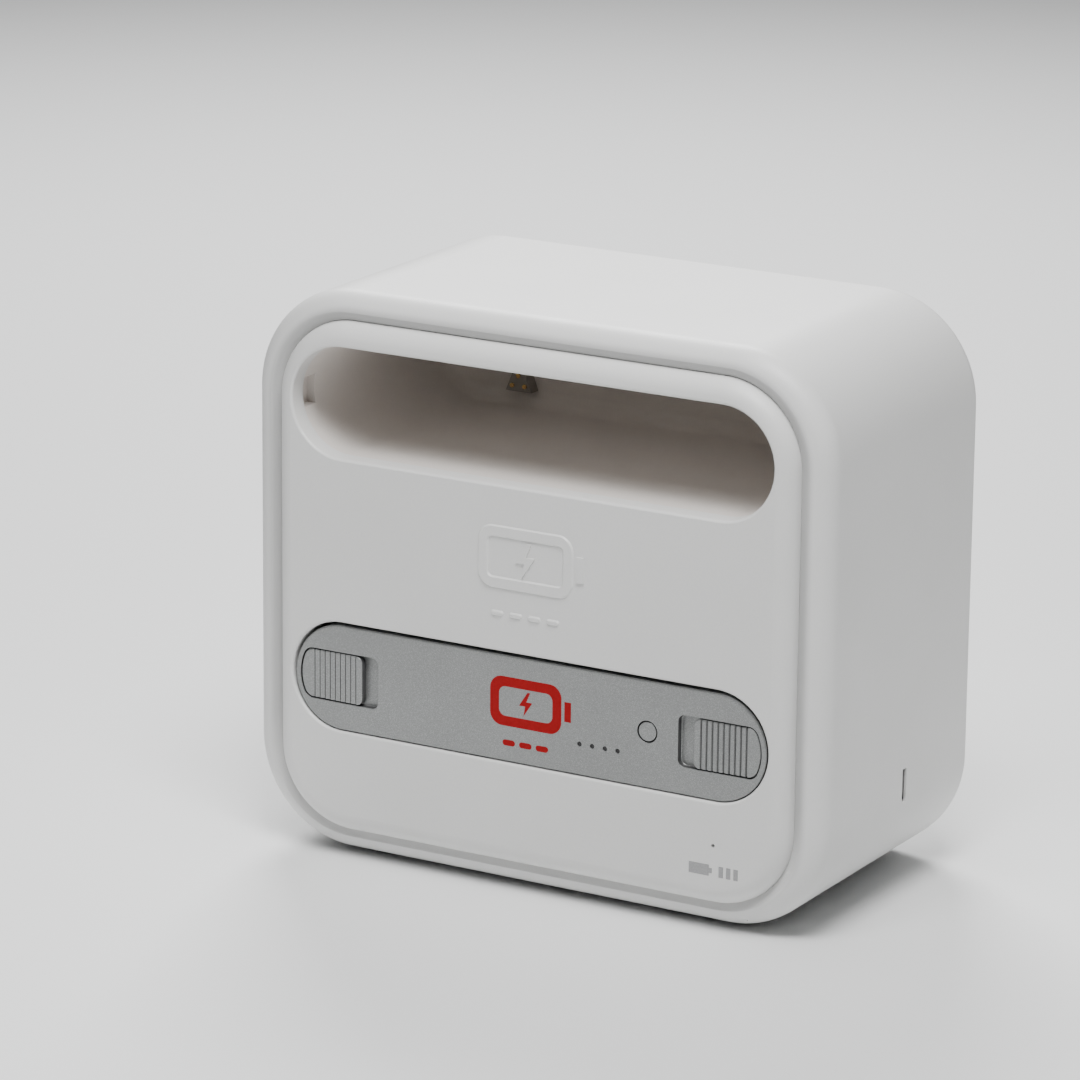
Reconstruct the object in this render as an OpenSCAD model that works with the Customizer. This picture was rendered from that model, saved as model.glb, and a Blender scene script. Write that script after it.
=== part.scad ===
// Two-bay charging cabinet for removable battery packs, with one pack in the lower bay.
// Millimetres, +Z up. The front faces -Y, and the origin is under the middle of the cabinet,
// at the height of what its feet stand on. Depths are counted from the front panel's face.

/* [Bays] */
// Width of a bay's opening, end to end
bay_w = 160; // [130:1:200]
// Height of a bay's opening, whose ends are half round
bay_h = 33.7; // [28:0.1:42]
// Depth of a bay, from the panel's face to its back wall
bay_depth = 86; // [80:0.5:110]
// Radius of the edge round a bay's back wall
bay_back_r = 5; // [3:0.5:6]
// Radius of the rounded edge of a bay's mouth
mouth_r = 0.9; // [0.4:0.1:1.2]
// Height between the middles of the two bays
bay_pitch = 83.6; // [68:0.1:110]
// Wall of the trays that line the bays
tray_wall = 1.8; // [1.2:0.1:3]
// Depth of the panel's own lip round each opening
lip_depth = 6; // [5:0.1:10]
// Wall of that lip
lip_wall = 1.8; // [1.2:0.1:2.4]

/* [Front panel] */
// Panel beyond the end of a bay
side_land = 6.2; // [5:0.1:14]
// Panel above the upper bay
top_land = 7.15; // [6:0.05:14]
// Panel below the lower bay
bottom_land = 31.7; // [28:0.1:45]
// Radius of the panel's corners
panel_r = 24.6; // [20:0.1:30]
// How far the panel stands out of the groove round it
panel_proud = 5.4; // [4.6:0.1:6]
// Radius of the panel's rounded edge
panel_edge_r = 6; // [5.6:0.1:6.2]
// Thickness of the panel
panel_t = 2.4; // [1.8:0.1:3]
// Width of the groove round the panel
groove_w = 3.6; // [1.5:0.1:3.6]
// Depth of that groove below the rim, which rolls down into it
groove_drop = 1.7; // [0.8:0.1:1.8]
// Height of the raised symbols
emboss_h = 0.5; // [0.3:0.1:0.8]

/* [Casing] */
// Rim beside the panel
rim_side = 9.8; // [8.5:0.1:16]
// Rim above the panel
rim_top = 8.2; // [8:0.1:16]
// Rim below the panel
rim_bottom = 7; // [6.8:0.1:16]
// Radius of the cabinet's long corners
corner_r = 32; // [30:0.5:38]
// Radius of the casing's front edge
front_edge_r = 7; // [4:0.1:7]
// Radius of the rear cover's back edge
back_edge_r = 5; // [3:0.1:8]
// Wall of the casing and of the rear cover
casing_wall = 2.6; // [2:0.1:3]
// Space behind the back wall of the bays, up to the outside of the rear cover
rear_space = 14; // [13.5:0.1:30]
// Depth at which the casing meets the rear cover
seam_depth = 54.4; // [48:0.1:64]
// Height of the feet under the cabinet
foot_h = 1.5; // [1:0.1:4]
// Radius of a foot
foot_r = 6; // [4:0.1:8]

/* [Battery pack] */
// Play at each end of the pack in its bay
pack_end_play = 0.7; // [0.4:0.05:1.2]
// Play over the pack
pack_top_play = 1.1; // [0.6:0.05:1.6]
// Play under the pack
pack_bottom_play = 0.3; // [0.2:0.05:0.6]
// Set-back of the pack's face from the panel's face
pack_inset = 0.8; // [0:0.1:2]
// Thickness of the pack's face plate
plate_t = 3.6; // [3.4:0.1:4]
// Wall of the pack's shells
shell_wall = 1.8; // [1.4:0.1:2.2]
// Play behind the pack
pack_back_play = 2; // [1:0.1:4]
// Radius of a cell
cell_r = 9.2; // [8:0.05:9.4]
// Length of a cell
cell_len = 65; // [50:0.5:65]
// Distance between the middles of two cells
cell_pitch = 20; // [19.2:0.1:20.6]
// Depth of the front ends of the cells
cell_front = 11.5; // [11.5:0.1:12]

/* [Latches] */
// Height of a finger recess
recess_h = 15.6; // [12:0.1:17]
// Depth of a finger recess
recess_depth = 2.3; // [2:0.05:2.5]
// Length of the thumb piece
thumb_len = 21.4; // [19.5:0.1:22]
// Travel of a latch
latch_travel = 4.6; // [3.4:0.1:4.8]
// Play left between a thumb piece, held in, and the inner end of its recess
recess_play = 0.7; // [0.5:0.1:2]
// Engagement of a tongue behind the panel's lip
latch_bite = 2.2; // [1.6:0.1:2.4]
// Height of a tongue
tongue_h = 7.4; // [5:0.1:8.4]
// Number of grip grooves
grip_count = 9; // [5:1:9]
// Distance between two grip grooves
grip_pitch = 1.82; // [1.6:0.01:1.9]

/* [Check button and lamps] */
// Distance of the check button's middle from the finger recess
button_gap = 10.1; // [8:0.1:12]
// Height of the check button over the pack's middle
button_z = 0.8; // [-4:0.1:4]
// Diameter of the check button
button_d = 5.8; // [4:0.1:7]
// Travel of the check button
button_travel = 0.6; // [0.3:0.05:0.7]
// Distance of the first charge lamp from the check button
lamp_gap = 22.4; // [20:0.1:26]
// Height of the charge lamps over the pack's middle
lamp_z = -6.7; // [-8:0.1:-5]
// Distance between two charge lamps
lamp_pitch = 4.23; // [3.4:0.01:4.4]
// Diameter of a charge lamp's hole
lamp_d = 1.3; // [1:0.05:2]

/* [Status lamp and inlet] */
// Distance of the status lamp from the side of the panel
status_side = 23.2; // [20:0.1:36]
// Height of the status lamp over the panel's lower edge
status_rise = 18.7; // [14:0.1:22]
// Distance of the inlet from the middle
inlet_x = -45; // [-50:0.5:-36]
// Height of the inlet over the cabinet's bottom
inlet_rise = 26; // [22:0.5:28]
// Radius of the inlet's socket
inlet_socket_r = 2.8; // [2.7:0.05:3.2]
// Radius of the inlet's centre pin
inlet_pin_r = 1.05; // [1:0.05:1.3]

/* [Hidden] */
$fn = 64;
touch = 0.05;
fit = 0.2;
bay_r = bay_h / 2;
bay_end_x = bay_w / 2 - bay_r;
panel_w = bay_w + 2 * side_land;
panel_h = top_land + bay_h + bay_pitch + bottom_land;
body_w = panel_w + 2 * rim_side;
body_h = panel_h + rim_top + rim_bottom;
body_d = bay_depth + rear_space;
front_y = emboss_h - (body_d + emboss_h) / 2;
body_mid_z = foot_h + body_h / 2;
panel_bottom = foot_h + rim_bottom;
panel_mid_z = panel_bottom + panel_h / 2;
lower_z = panel_bottom + bottom_land + bay_r;
upper_z = lower_z + bay_pitch;
bay_zs = [lower_z, upper_z];
middle_z = (upper_z + lower_z) / 2;

groove_floor = panel_proud;
rim_depth = groove_floor - groove_drop;
ledge_t = 2.6;
ledge_back = groove_floor + ledge_t;
ledge_inset = 2.2;
mouth_sink = 0.012;
edge_run = sqrt(2 * panel_proud * panel_edge_r - panel_proud * panel_proud);
roll_off = 0.35;
roll_x = groove_w + roll_off;
roll_depth = ((roll_x * roll_x - roll_off * roll_off) / groove_drop + groove_drop) / 2;
roll_r = sqrt(roll_off * roll_off + roll_depth * roll_depth);

screw_r = 1.3;
screw_hole_r = 1.35;
screw_head_r = 2.4;
screw_head_t = 1.8;
boss_r = 3.4;

hook_x = 40;
hook_w = 10;
hook_t = 1.6;
ear_t = 2.5;
ear_w = 12;
ear_x = 50;
ear_reach = 4.6;
ear_h = 9.4;
side_ear_w = 11;
side_ear_x = panel_w / 2 - 9.4;
low_ear_x = panel_w / 2 - 20;
low_ear_z = panel_bottom + 11.4;
low_ear_top = low_ear_z + 4;
low_ear_h = 19.5;

long_boss_r = 5;
long_boss_end = seam_depth + 1.6;
long_screw_r = 1.5;
long_screw_head_r = 2.9;
long_screw_head_t = 2.4;
long_screw_len = 14;
long_post_r = 4.6;
long_post_start = long_boss_end + fit;
long_post_shelf = long_post_start + 4.8;
corner_reach = corner_r - 7;
lap_depth = 3;
lap_t = 1.4;

raised_w = 32;
raised_h = 19;
raised_r = 5;
raised_line = 3.6;
raised_lift = 3.6;
raised_slope = 0.9;
bar_r = 0.85;
bar_end_x = 1.35;
bar_pitch = 6.2;
bar_drop = 17;

pry_z = foot_h + 34.2;
pry_h = 10;
pry_w = 2.6;
pry_depth = casing_wall + lap_t + 0.4;
pry_skin = 0.8;
pry_undercut = 2.4;
foot_depths = [rim_depth + front_edge_r + foot_r + 1, body_d - back_edge_r - foot_r - 1];

board_standoff = 2.5;
board_t = 1.6;
board_front = bay_depth + 2 + board_standoff;
board_back = board_front + board_t;
board_top = upper_z + 8;
board_bottom = lower_z - 18.4;
board_hole_x = bay_end_x - 7.15;
board_w = 2 * (board_hole_x + 6);
board_screw_zs = [lower_z + 4, upper_z + 3];
capacitor_r = 6.2;
capacitor_pitch = 15;
inductor_x = 6;
inductor_r = 9;
sink_in = 21;
sink_w = board_hole_x - 1 - sink_in;
sink_h = 30;
fin_t = 1.4;
fin_pitch = 5.3;

header_x = 12.15 - bay_end_x;
header_w = 9;
header_top_w = 3;
header_h = 7.4;
header_z = 8.35 - bay_r;
header_front = bay_depth - 4;
header_pin_r = 0.7;
header_pin_tip = 0.4;
header_pins = [[-2.2, -1.9], [2.2, -1.9], [0, 1.3]];

pocket_h = tongue_h + 1.6;
pocket_back = lip_depth + 6.2;
pocket_wall = 1.2;
pocket_out = bay_w / 2 + latch_bite + 0.3;

pack_r = (bay_h - pack_top_play - pack_bottom_play) / 2;
pack_w = bay_w - 2 * pack_end_play;
pack_end_x = pack_w / 2 - pack_r;
pack_z = lower_z - bay_r + pack_bottom_play + pack_r;
pack_face = pack_inset;
plate_back = pack_face + plate_t;
pack_back = bay_depth - pack_back_play;
pack_back_r = bay_back_r;
shell_in_r = pack_r - shell_wall;
plate_bevel = 0.5;

recess_floor = pack_face + recess_depth;
recess_corner_r = 2.5;
thumb_gap = 0.35;
thumb_end_r = pack_r - 2;
thumb_out = pack_end_x + thumb_end_r;
thumb_in = thumb_out - thumb_len;
recess_in = thumb_in - latch_travel - recess_play;
thumb_back = recess_floor - 0.3;
thumb_rise_out = 0.15;
thumb_rise_in = -0.45;
grip_w = 0.7;
stem_in = thumb_in + 8.4;
stem_len = 5.4;
stem_h = 4.2;
stem_back = 6.2;

bolt_in = stem_in - 5.3;
bolt_out = thumb_out - 1.55;
bolt_front = plate_back + 0.3;
bolt_back = 10.2;
bolt_h = 10;
tongue_front = lip_depth + 1.2;
tongue_back = bolt_back;
tongue_tip = bay_w / 2 + latch_bite;
spring_r = 2.6;
spring_wire_r = 0.35;
spring_turns = 6;
spring_post_x = bolt_in - 11;
spring_depth = 7.4;
spigot_r = 1.6;
spigot_len = 2.5;

cell_count = 2 * floor(pack_end_x / cell_pitch);
cell_back = cell_front + cell_len;
holder_t = 4;
holder_gap = 0.3;
strip_t = 0.25;
pack_board_front = 8;
pack_board_back = pack_board_front + 1.6;
pack_board_x0 = 4 - spring_post_x;
pack_board_x1 = spring_post_x - 1;
pack_board_h = 2 * (shell_in_r - holder_gap);
post_x = pack_end_x + 5;
post_depths = [23, pack_back - 10];
post_r = 3.6;
pack_screw_seat = 4.8;
pack_screw_len = 20;
clip_x = 25;
clip_w = 8;
clip_t = 1.2;
clip_depth = 7.4;

button_x = recess_in - button_gap;
lamp_x = button_x - lamp_gap;
button_flange = plate_back + 0.2;
button_flange_t = 0.7;

socket_wall = 1.2;
socket_floor = header_front - 0.6;
socket_base = socket_floor - 2;
socket_back = pack_back - 0.6;
socket_play = 0.4;
header_rel_z = header_z + lower_z - pack_z;

inlet_z = foot_h + inlet_rise;
inlet_body_r = 5.5;
inlet_flange_r = 7;
inlet_flange_t = 1.2;
inlet_body_len = 14.8;
status_x = panel_w / 2 - status_side;
status_z = panel_bottom + status_rise;
status_board_depth = 8.8;

white = [0.93, 0.93, 0.92];
tray_white = [0.86, 0.86, 0.85];
silver = [0.66, 0.68, 0.68];
ink_red = [0.72, 0.05, 0.12];
ink_grey = [0.45, 0.45, 0.46];
black = [0.06, 0.06, 0.07];
header_grey = [0.34, 0.32, 0.30];
board_green = [0.05, 0.30, 0.17];
steel = [0.74, 0.75, 0.76];
brass = [0.80, 0.66, 0.35];

// Outline of a bay or pack: two half rounds of radius r and the straight between them
module stadium(w, r) {
    square([w - 2 * r, 2 * r], center = true);
    for (side = [-1, 1]) translate([side * (w / 2 - r), 0]) circle(r);
}

// Rectangle with round corners
module round_rect(w, h, r) {
    square([w - 2 * r, h], center = true);
    square([w, h - 2 * r], center = true);
    for (sx = [-1, 1], sy = [-1, 1]) translate([sx * (w / 2 - r), sy * (h / 2 - r)]) circle(r);
}

// Everything is drawn at its depth behind the front panel's face, and moved here at once
module at_face(z = 0) {
    translate([0, front_y, z]) children();
}

// Solid of an outline drawn in X and Z, between two depths
module slab(from, to) {
    translate([0, to, 0]) rotate([90, 0, 0]) linear_extrude(to - from) children();
}

// Round bar along the depth
module rod(x, z, r, from, to) {
    translate([x, 0, z]) slab(from, to) circle(r);
}

// Block between two depths, centred on x and z
module block(x, z, w, h, from, to) {
    translate([x - w / 2, from, z - h / 2]) cube([w, to - from, h]);
}

// Section carried round a rectangle with round corners. The section's X counts outwards from
// the corners' axes, and its Y is the depth
module swept_rect(w, h, r) {
    rotate([-90, 0, 0]) for (side = [0 : 3]) {
        along = (side % 2 == 0 ? h : w) - 2 * r;
        out = (side % 2 == 0 ? w : h) / 2 - r;
        rotate([0, 0, 90 * side]) translate([out, 0, 0]) {
            rotate([90, 0, 0]) linear_extrude(along, center = true) children();
            translate([0, along / 2, 0]) rotate_extrude(angle = 90) children();
        }
    }
}

// Section carried round a stadium whose end circles are end_x from the middle. The section's X
// counts outwards from those circles' axes, and its Y is the depth
module swept_stadium(end_x) {
    rotate([-90, 0, 0]) for (side = [0, 180]) rotate([0, 0, side]) translate([end_x, 0, 0]) {
        rotate([0, 0, -90]) rotate_extrude(angle = 180) children();
        for (half = [0, 180]) translate([-end_x / 2, 0, 0]) rotate([0, 0, half])
            rotate([90, 0, 90]) linear_extrude(end_x, center = true) children();
    }
}
// Section of a solid with a round edge at its back
module round_back_section(r, from, to, back_r) {
    translate([0, from]) square([r, to - back_r - from]);
    translate([0, from]) square([r - back_r, to - from]);
    translate([r - back_r, to - back_r]) circle(back_r);
}

// Round tube along a row of points, with a closed end at each side
function unit(v) = v / norm(v);
function run_dir(points, i) = unit(points[min(i + 1, len(points) - 1)] - points[max(i - 1, 0)]);
function across(d) = unit(abs(d[2]) < 0.9 ? cross(d, [0, 0, 1]) : cross(d, [1, 0, 0]));
function ring_point(p, d, r, a) =
    let (u = across(d), v = cross(d, u)) p + r * (cos(a) * u + sin(a) * v);
module tube_along(points, r, sides = 8) {
    count = len(points);
    rings = [for (i = [0 : count - 1], k = [0 : sides - 1])
        ring_point(points[i], run_dir(points, i), r, 360 * k / sides)];
    walls = [for (i = [0 : count - 2], k = [0 : sides - 1])
        let (a = i * sides + k, b = a + sides, j = (k + 1) % sides - k)
        each [[a, b, b + j], [a, b + j, a + j]]];
    first = [[for (k = [0 : sides - 1]) k]];
    last = [[for (k = [sides - 1 : -1 : 0]) (count - 1) * sides + k]];
    polyhedron(points = rings, faces = concat(walls, first, last), convexity = 4);
}
// Points of a smooth curve through the given ones
function between(a, b, c, d, t) = 0.5 * (2 * b + (c - a) * t + (2 * a - 5 * b + 4 * c - d) * t * t
    + (3 * b - a - 3 * c + d) * t * t * t);
function smooth(p, n = 5) = [for (i = [0 : len(p) - 2], k = [0 : n - 1])
    between(p[max(i - 1, 0)], p[i], p[i + 1], p[min(i + 2, len(p) - 1)], k / n), p[len(p) - 1]];

// Pan head screw along the depth, with its head at the back
module pan_screw(x, z, seat, len, r = screw_r, head_r = screw_head_r, head_t = screw_head_t) {
    difference() {
        union() {
            rod(x, z, r, seat - len, seat);
            rod(x, z, head_r, seat, seat + head_t);
        }
        for (turn = [0, 90]) translate([x, seat + head_t, z]) rotate([0, turn, 0])
            cube([head_r * 1.2, 1.6, 0.5], center = true);
    }
}

// Outline of a battery with its contact, and a bolt inside it
module bolt_outline(h) {
    polygon(h * [[0.08, 0.5], [-0.3, -0.08], [-0.02, -0.08], [-0.1, -0.5], [0.3, 0.1],
        [0.03, 0.1], [0.2, 0.5]]);
}
// Row of round-ended bars
module bars(count, w, h, pitch) {
    for (i = [0 : count - 1]) translate([(i - (count - 1) / 2) * pitch, 0]) stadium(w, h / 2);
}

// Places that two or more pieces share
module at_long_screws() {
    for (sx = [-1, 1], sz = [-1, 1])
        translate([sx * (body_w / 2 - corner_r + corner_reach * sin(45)), 0,
            body_mid_z + sz * (body_h / 2 - corner_r + corner_reach * sin(45))]) children();
}
module at_panel_screws() {
    for (side = [-1, 1]) {
        translate([side * side_ear_x, 0, middle_z]) children();
        translate([side * low_ear_x, 0, low_ear_z]) children();
    }
}
// Ears of a tray: under the upper one, and over and under the lower one
function ear_sides(upper) = upper ? [-1] : [-1, 1];
module at_ears(upper) {
    for (sx = [-1, 1], sz = ear_sides(upper))
        translate([sx * ear_x, 0, sz * (bay_r + lip_wall + ear_reach)]) children();
}
module at_board_screws() {
    for (x = [-1, 0, 1], z = board_screw_zs) translate([x * board_hole_x, 0, z]) children();
}
module at_led_board_screws() {
    for (side = [-1, 1]) translate([status_x + side * 6, 0, status_z]) children();
}

// Cabinet: shells and panel
module front_casing() {
    color(white) at_face() difference() {
        union() {
            translate([0, 0, body_mid_z]) swept_rect(body_w, body_h, corner_r) {
                union() {
                    difference() {
                        translate([corner_r - front_edge_r, rim_depth + front_edge_r])
                            circle(front_edge_r);
                        translate([corner_r - front_edge_r, rim_depth + front_edge_r])
                            circle(front_edge_r - casing_wall);
                        translate([0, rim_depth + front_edge_r]) square(corner_r * 2);
                        square([corner_r - front_edge_r, corner_r]);
                    }
                    translate([corner_r - 14, rim_depth])
                        square([14 - front_edge_r + 0.1, ledge_back - rim_depth]);
                    translate([corner_r - casing_wall, rim_depth + front_edge_r])
                        square([casing_wall, seam_depth - rim_depth - front_edge_r]);
                }
            }
            at_long_screws() rod(0, 0, long_boss_r, ledge_back - 1, long_boss_end);
            for (side = [-1, 1]) {
                block(side * (side_ear_x + 4), middle_z, side_ear_w + 8, side_ear_w,
                    groove_floor, ledge_back);
                block(side * low_ear_x, low_ear_top - low_ear_h / 2, side_ear_w, low_ear_h,
                    groove_floor, ledge_back);
            }
        }
        translate([0, 0, panel_mid_z]) {
            swept_rect(panel_w, panel_h, panel_r) groove_section();
            difference() {
                slab(0, ledge_back + 1) round_rect(panel_w - 2 * ledge_inset,
                    panel_h - 2 * ledge_inset, panel_r - ledge_inset);
                translate([0, 0, -panel_mid_z]) for (side = [-1, 1]) {
                    block(side * (side_ear_x + 4), middle_z, side_ear_w + 8, side_ear_w,
                        groove_floor, ledge_back + 2);
                    block(side * low_ear_x, low_ear_top - low_ear_h / 2, side_ear_w, low_ear_h,
                        groove_floor, ledge_back + 2);
                }
            }
        }
        for (side = [-1, 1], z = bay_zs) block(side * (pocket_out + pocket_wall / 2), z,
            pocket_wall + 0.5, pocket_h + 2 * pocket_wall + 2 * fit, groove_floor - 1, ledge_back + 1);
        at_panel_screws() rod(0, 0, screw_hole_r + 0.2, 0, ledge_back + 1);
        at_long_screws() rod(0, 0, long_screw_r + touch, long_boss_end - 14, long_boss_end + 1);
        for (side = [-1, 1]) foot_seat(side, foot_depths[0]);
    }
}
// What the groove takes away: the rim's inner edge is an arc that ends in the crease by the panel
module groove_section() {
    difference() {
        translate([0, -1]) square([panel_r + groove_w + 0.2, groove_floor + 1]);
        translate([panel_r + roll_x, rim_depth + roll_depth]) circle(roll_r);
    }
}
module foot_seat(side, depth) {
    translate([side * (body_w / 2 - corner_r - foot_r - 2), depth, foot_h - 1])
        cylinder(h = 2, r = foot_r + 0.1);
}
module rubber_feet() {
    color(black) at_face() for (side = [-1, 1], depth = foot_depths)
        translate([side * (body_w / 2 - corner_r - foot_r - 2), depth, 0])
            cylinder(h = foot_h + 1, r = foot_r);
}
module vent_slots() {
    for (i = [-5 : 5]) translate([i * 7, 0, middle_z]) slab(body_d - casing_wall - 1, body_d + 1)
        rotate(90) stadium(24, 1.4);
}
module rear_cover() {
    in_r = corner_r - casing_wall;
    color(white) at_face() difference() {
        union() {
            translate([0, 0, body_mid_z]) {
                swept_rect(body_w, body_h, corner_r) union() {
                    difference() {
                        translate([corner_r - back_edge_r, body_d - back_edge_r])
                            circle(back_edge_r);
                        translate([corner_r - back_edge_r, body_d - back_edge_r])
                            circle(back_edge_r - casing_wall);
                        square([corner_r * 2, body_d - back_edge_r]);
                        square([corner_r - back_edge_r, body_d * 2]);
                    }
                    translate([0, body_d - casing_wall])
                        square([corner_r - back_edge_r + touch, casing_wall]);
                    translate([in_r, seam_depth])
                        square([casing_wall, body_d - back_edge_r - seam_depth]);
                    translate([in_r - lap_t - 0.15, seam_depth - lap_depth])
                        square([lap_t, 2 * lap_depth]);
                    translate([in_r - lap_t, seam_depth]) square([lap_t + touch, lap_depth]);
                }
                block(0, 0, body_w - 2 * corner_r, body_h - 2 * corner_r,
                    body_d - casing_wall, body_d);
            }
            at_long_screws() rod(0, 0, long_post_r, long_post_start, body_d - 1);
        }
        at_long_screws() {
            rod(0, 0, long_boss_r + 0.3, seam_depth - lap_depth - 1, long_post_start - 0.1);
            rod(0, 0, long_screw_r + 0.2, long_post_start - 1, long_post_shelf + 1);
            rod(0, 0, long_screw_head_r + 0.4, long_post_shelf, body_d + 1);
        }
        for (side = [-1, 1]) {
            translate([side * body_w / 2, seam_depth + pry_w / 2, pry_z])
                cube([2 * pry_depth, pry_w, pry_h], center = true);
            translate([side * (body_w / 2 - (pry_depth + pry_skin) / 2),
                seam_depth + (pry_w + pry_undercut) / 2 + 0.1, pry_z])
                cube([pry_depth - pry_skin, pry_w + pry_undercut, pry_h + 1], center = true);
            foot_seat(side, foot_depths[1]);
        }
        vent_slots();
        rod(inlet_x, inlet_z, inlet_body_r + 0.1, body_d - casing_wall - 1, body_d);
        rod(inlet_x, inlet_z, inlet_flange_r + 0.3, body_d - inlet_flange_t, body_d + 1);
        translate([inlet_x + 60, 0, inlet_z]) slab(body_d - 0.4, body_d + 1)
            round_rect(56, 24, 2);
    }
}

// Section of the panel's edge: a shell of even thickness that bends back to the groove's floor
module panel_edge_section() {
    difference() {
        translate([panel_r - edge_run, panel_edge_r]) circle(panel_edge_r);
        translate([panel_r - edge_run, panel_edge_r]) circle(panel_edge_r - panel_t);
        translate([0, panel_proud]) square([panel_r * 2, panel_edge_r * 2]);
        square([panel_r - edge_run, panel_edge_r * 2]);
    }
    square([panel_r - edge_run + 0.01, panel_t]);
}
// What the round edge of a bay's mouth takes away
module mouth_section() {
    difference() {
        translate([bay_r - 1, -1]) square([1 + mouth_r - mouth_sink, 1 + mouth_r - mouth_sink]);
        translate([bay_r + mouth_r - mouth_sink, mouth_r - mouth_sink]) circle(mouth_r);
    }
}
// Section of a raised line, whose top is narrower than its foot
module raised_band(reach, band) {
    outer = emboss_h * raised_slope;
    inner = band < reach ? outer : 0;
    polygon([[reach - band, panel_t / 2], [reach - band, 0], [reach - band + inner, -emboss_h],
        [reach - outer, -emboss_h], [reach, 0], [reach, panel_t / 2]]);
}
module front_panel() {
    color(white) at_face() difference() {
        union() {
            translate([0, 0, panel_mid_z]) {
                swept_rect(panel_w, panel_h, panel_r) panel_edge_section();
                block(0, 0, panel_w - 2 * panel_r, panel_h - 2 * panel_r, 0, panel_t);
            }
            for (z = bay_zs) translate([0, 0, z])
                slab(panel_t / 2, lip_depth) stadium(bay_w + 2 * lip_wall, bay_r + lip_wall);
            for (upper = [0, 1]) translate([0, 0, bay_zs[upper]])
                at_ears(upper == 1) rod(0, 0, boss_r, panel_t / 2, lip_depth);
            at_panel_screws() rod(0, 0, boss_r, panel_t / 2, groove_floor);
            at_led_board_screws() rod(0, 0, 2.4, panel_t / 2, status_board_depth);
            for (side = [-1, 1]) {
                translate([0, 0, panel_bottom + panel_h - ledge_inset - 0.3 - hook_t / 2])
                    block(side * hook_x, 0, hook_w, hook_t, panel_t / 2, ledge_back + 1.6);
                translate([0, 0, panel_bottom + panel_h - ledge_inset + 0.6])
                    block(side * hook_x, 0, hook_w, 3.4, ledge_back + touch, ledge_back + 1.6);
            }
            translate([0, 0, middle_z + raised_lift]) {
                swept_rect(raised_w, raised_h, raised_r) raised_band(raised_r, raised_line);
                slab(-emboss_h, panel_t / 2) {
                    translate([raised_w / 2 + raised_line * 0.65, 0])
                        square([raised_line * 0.7, raised_h * 0.4], center = true);
                    bolt_outline(raised_h * 0.56);
                }
                for (i = [0 : 3]) translate([(i - 1.5) * bar_pitch, 0, -bar_drop])
                    swept_stadium(bar_end_x) raised_band(bar_r, bar_r);
            }
        }
        for (z = bay_zs) translate([0, 0, z]) {
            slab(-1, lip_depth + 1) stadium(bay_w, bay_r);
            swept_stadium(bay_end_x) mouth_section();
        }
        for (upper = [0, 1]) translate([0, 0, bay_zs[upper]])
            at_ears(upper == 1) rod(0, 0, screw_hole_r, 3, lip_depth + 1);
        at_panel_screws() rod(0, 0, screw_hole_r, 2.2, groove_floor + 1);
        at_led_board_screws() rod(0, 0, 0.95, 3, status_board_depth + 1);
        rod(status_x, status_z, 0.55, -1, panel_t);
        rod(status_x, status_z, 1.7, 1.2, panel_t + 1);
        translate([status_x - 0.5, 0, status_z - 7.6]) slab(-1, 0.25) status_symbol_outline(0.08);
    }
}
module status_symbol_outline(play = 0) {
    offset_w = 2 * play;
    translate([-4, 0]) {
        square([6.4 + offset_w, 3.2 + offset_w], center = true);
        translate([3.7, 0]) square([1 + offset_w, 1.4 + offset_w], center = true);
    }
    translate([3.8, 0]) for (i = [0 : 2]) translate([i * 2.4 - 0.6, 0])
        square([1.3 + offset_w, 3.2 + offset_w], center = true);
}
module status_symbol() {
    color(ink_grey) at_face() translate([status_x - 0.5, 0, status_z - 7.6])
        slab(-0.03, 0.22) status_symbol_outline();
}

// Bay linings and what they plug into
module bay_tray(upper) {
    out_r = bay_r + tray_wall;
    out_w = bay_w + 2 * tray_wall;
    color(tray_white) at_face(upper ? upper_z : lower_z) difference() {
        union() {
            slab(lip_depth + touch, bay_depth + 2) stadium(out_w, out_r);
            for (side = [-1, 1]) block(side * (bay_w / 2 + pocket_out + pocket_wall) / 2, 0,
                pocket_out + pocket_wall - bay_w / 2, pocket_h + 2 * pocket_wall,
                lip_depth + touch, pocket_back + pocket_wall);
            for (sx = [-1, 1], sz = ear_sides(upper)) block(sx * ear_x,
                sz * (bay_r + tray_wall / 2 + ear_h / 2), ear_w, ear_h,
                lip_depth + touch, lip_depth + ear_t);
            for (x = [-1, 0, 1]) rod(x * board_hole_x,
                board_screw_zs[upper ? 1 : 0] - (upper ? upper_z : lower_z),
                3, bay_depth + 1, board_front);
        }
        swept_stadium(bay_end_x) round_back_section(bay_r, 0, bay_depth, bay_back_r);
        at_ears(upper) rod(0, 0, screw_hole_r + 0.15, 0, lip_depth + ear_t + 1);
        for (side = [-1, 1]) block(side * (pocket_out - 4), 0, 8, pocket_h, 0, pocket_back);
        translate([header_x, 0, header_z]) slab(header_front, bay_depth + 3) header_outline(0.3);
        for (x = [-1, 0, 1]) rod(x * board_hole_x,
            board_screw_zs[upper ? 1 : 0] - (upper ? upper_z : lower_z),
            screw_hole_r, bay_depth + 0.5, board_front + 1);
    }
}
module upper_bay_tray() { bay_tray(true); }
module lower_bay_tray() { bay_tray(false); }

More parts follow.
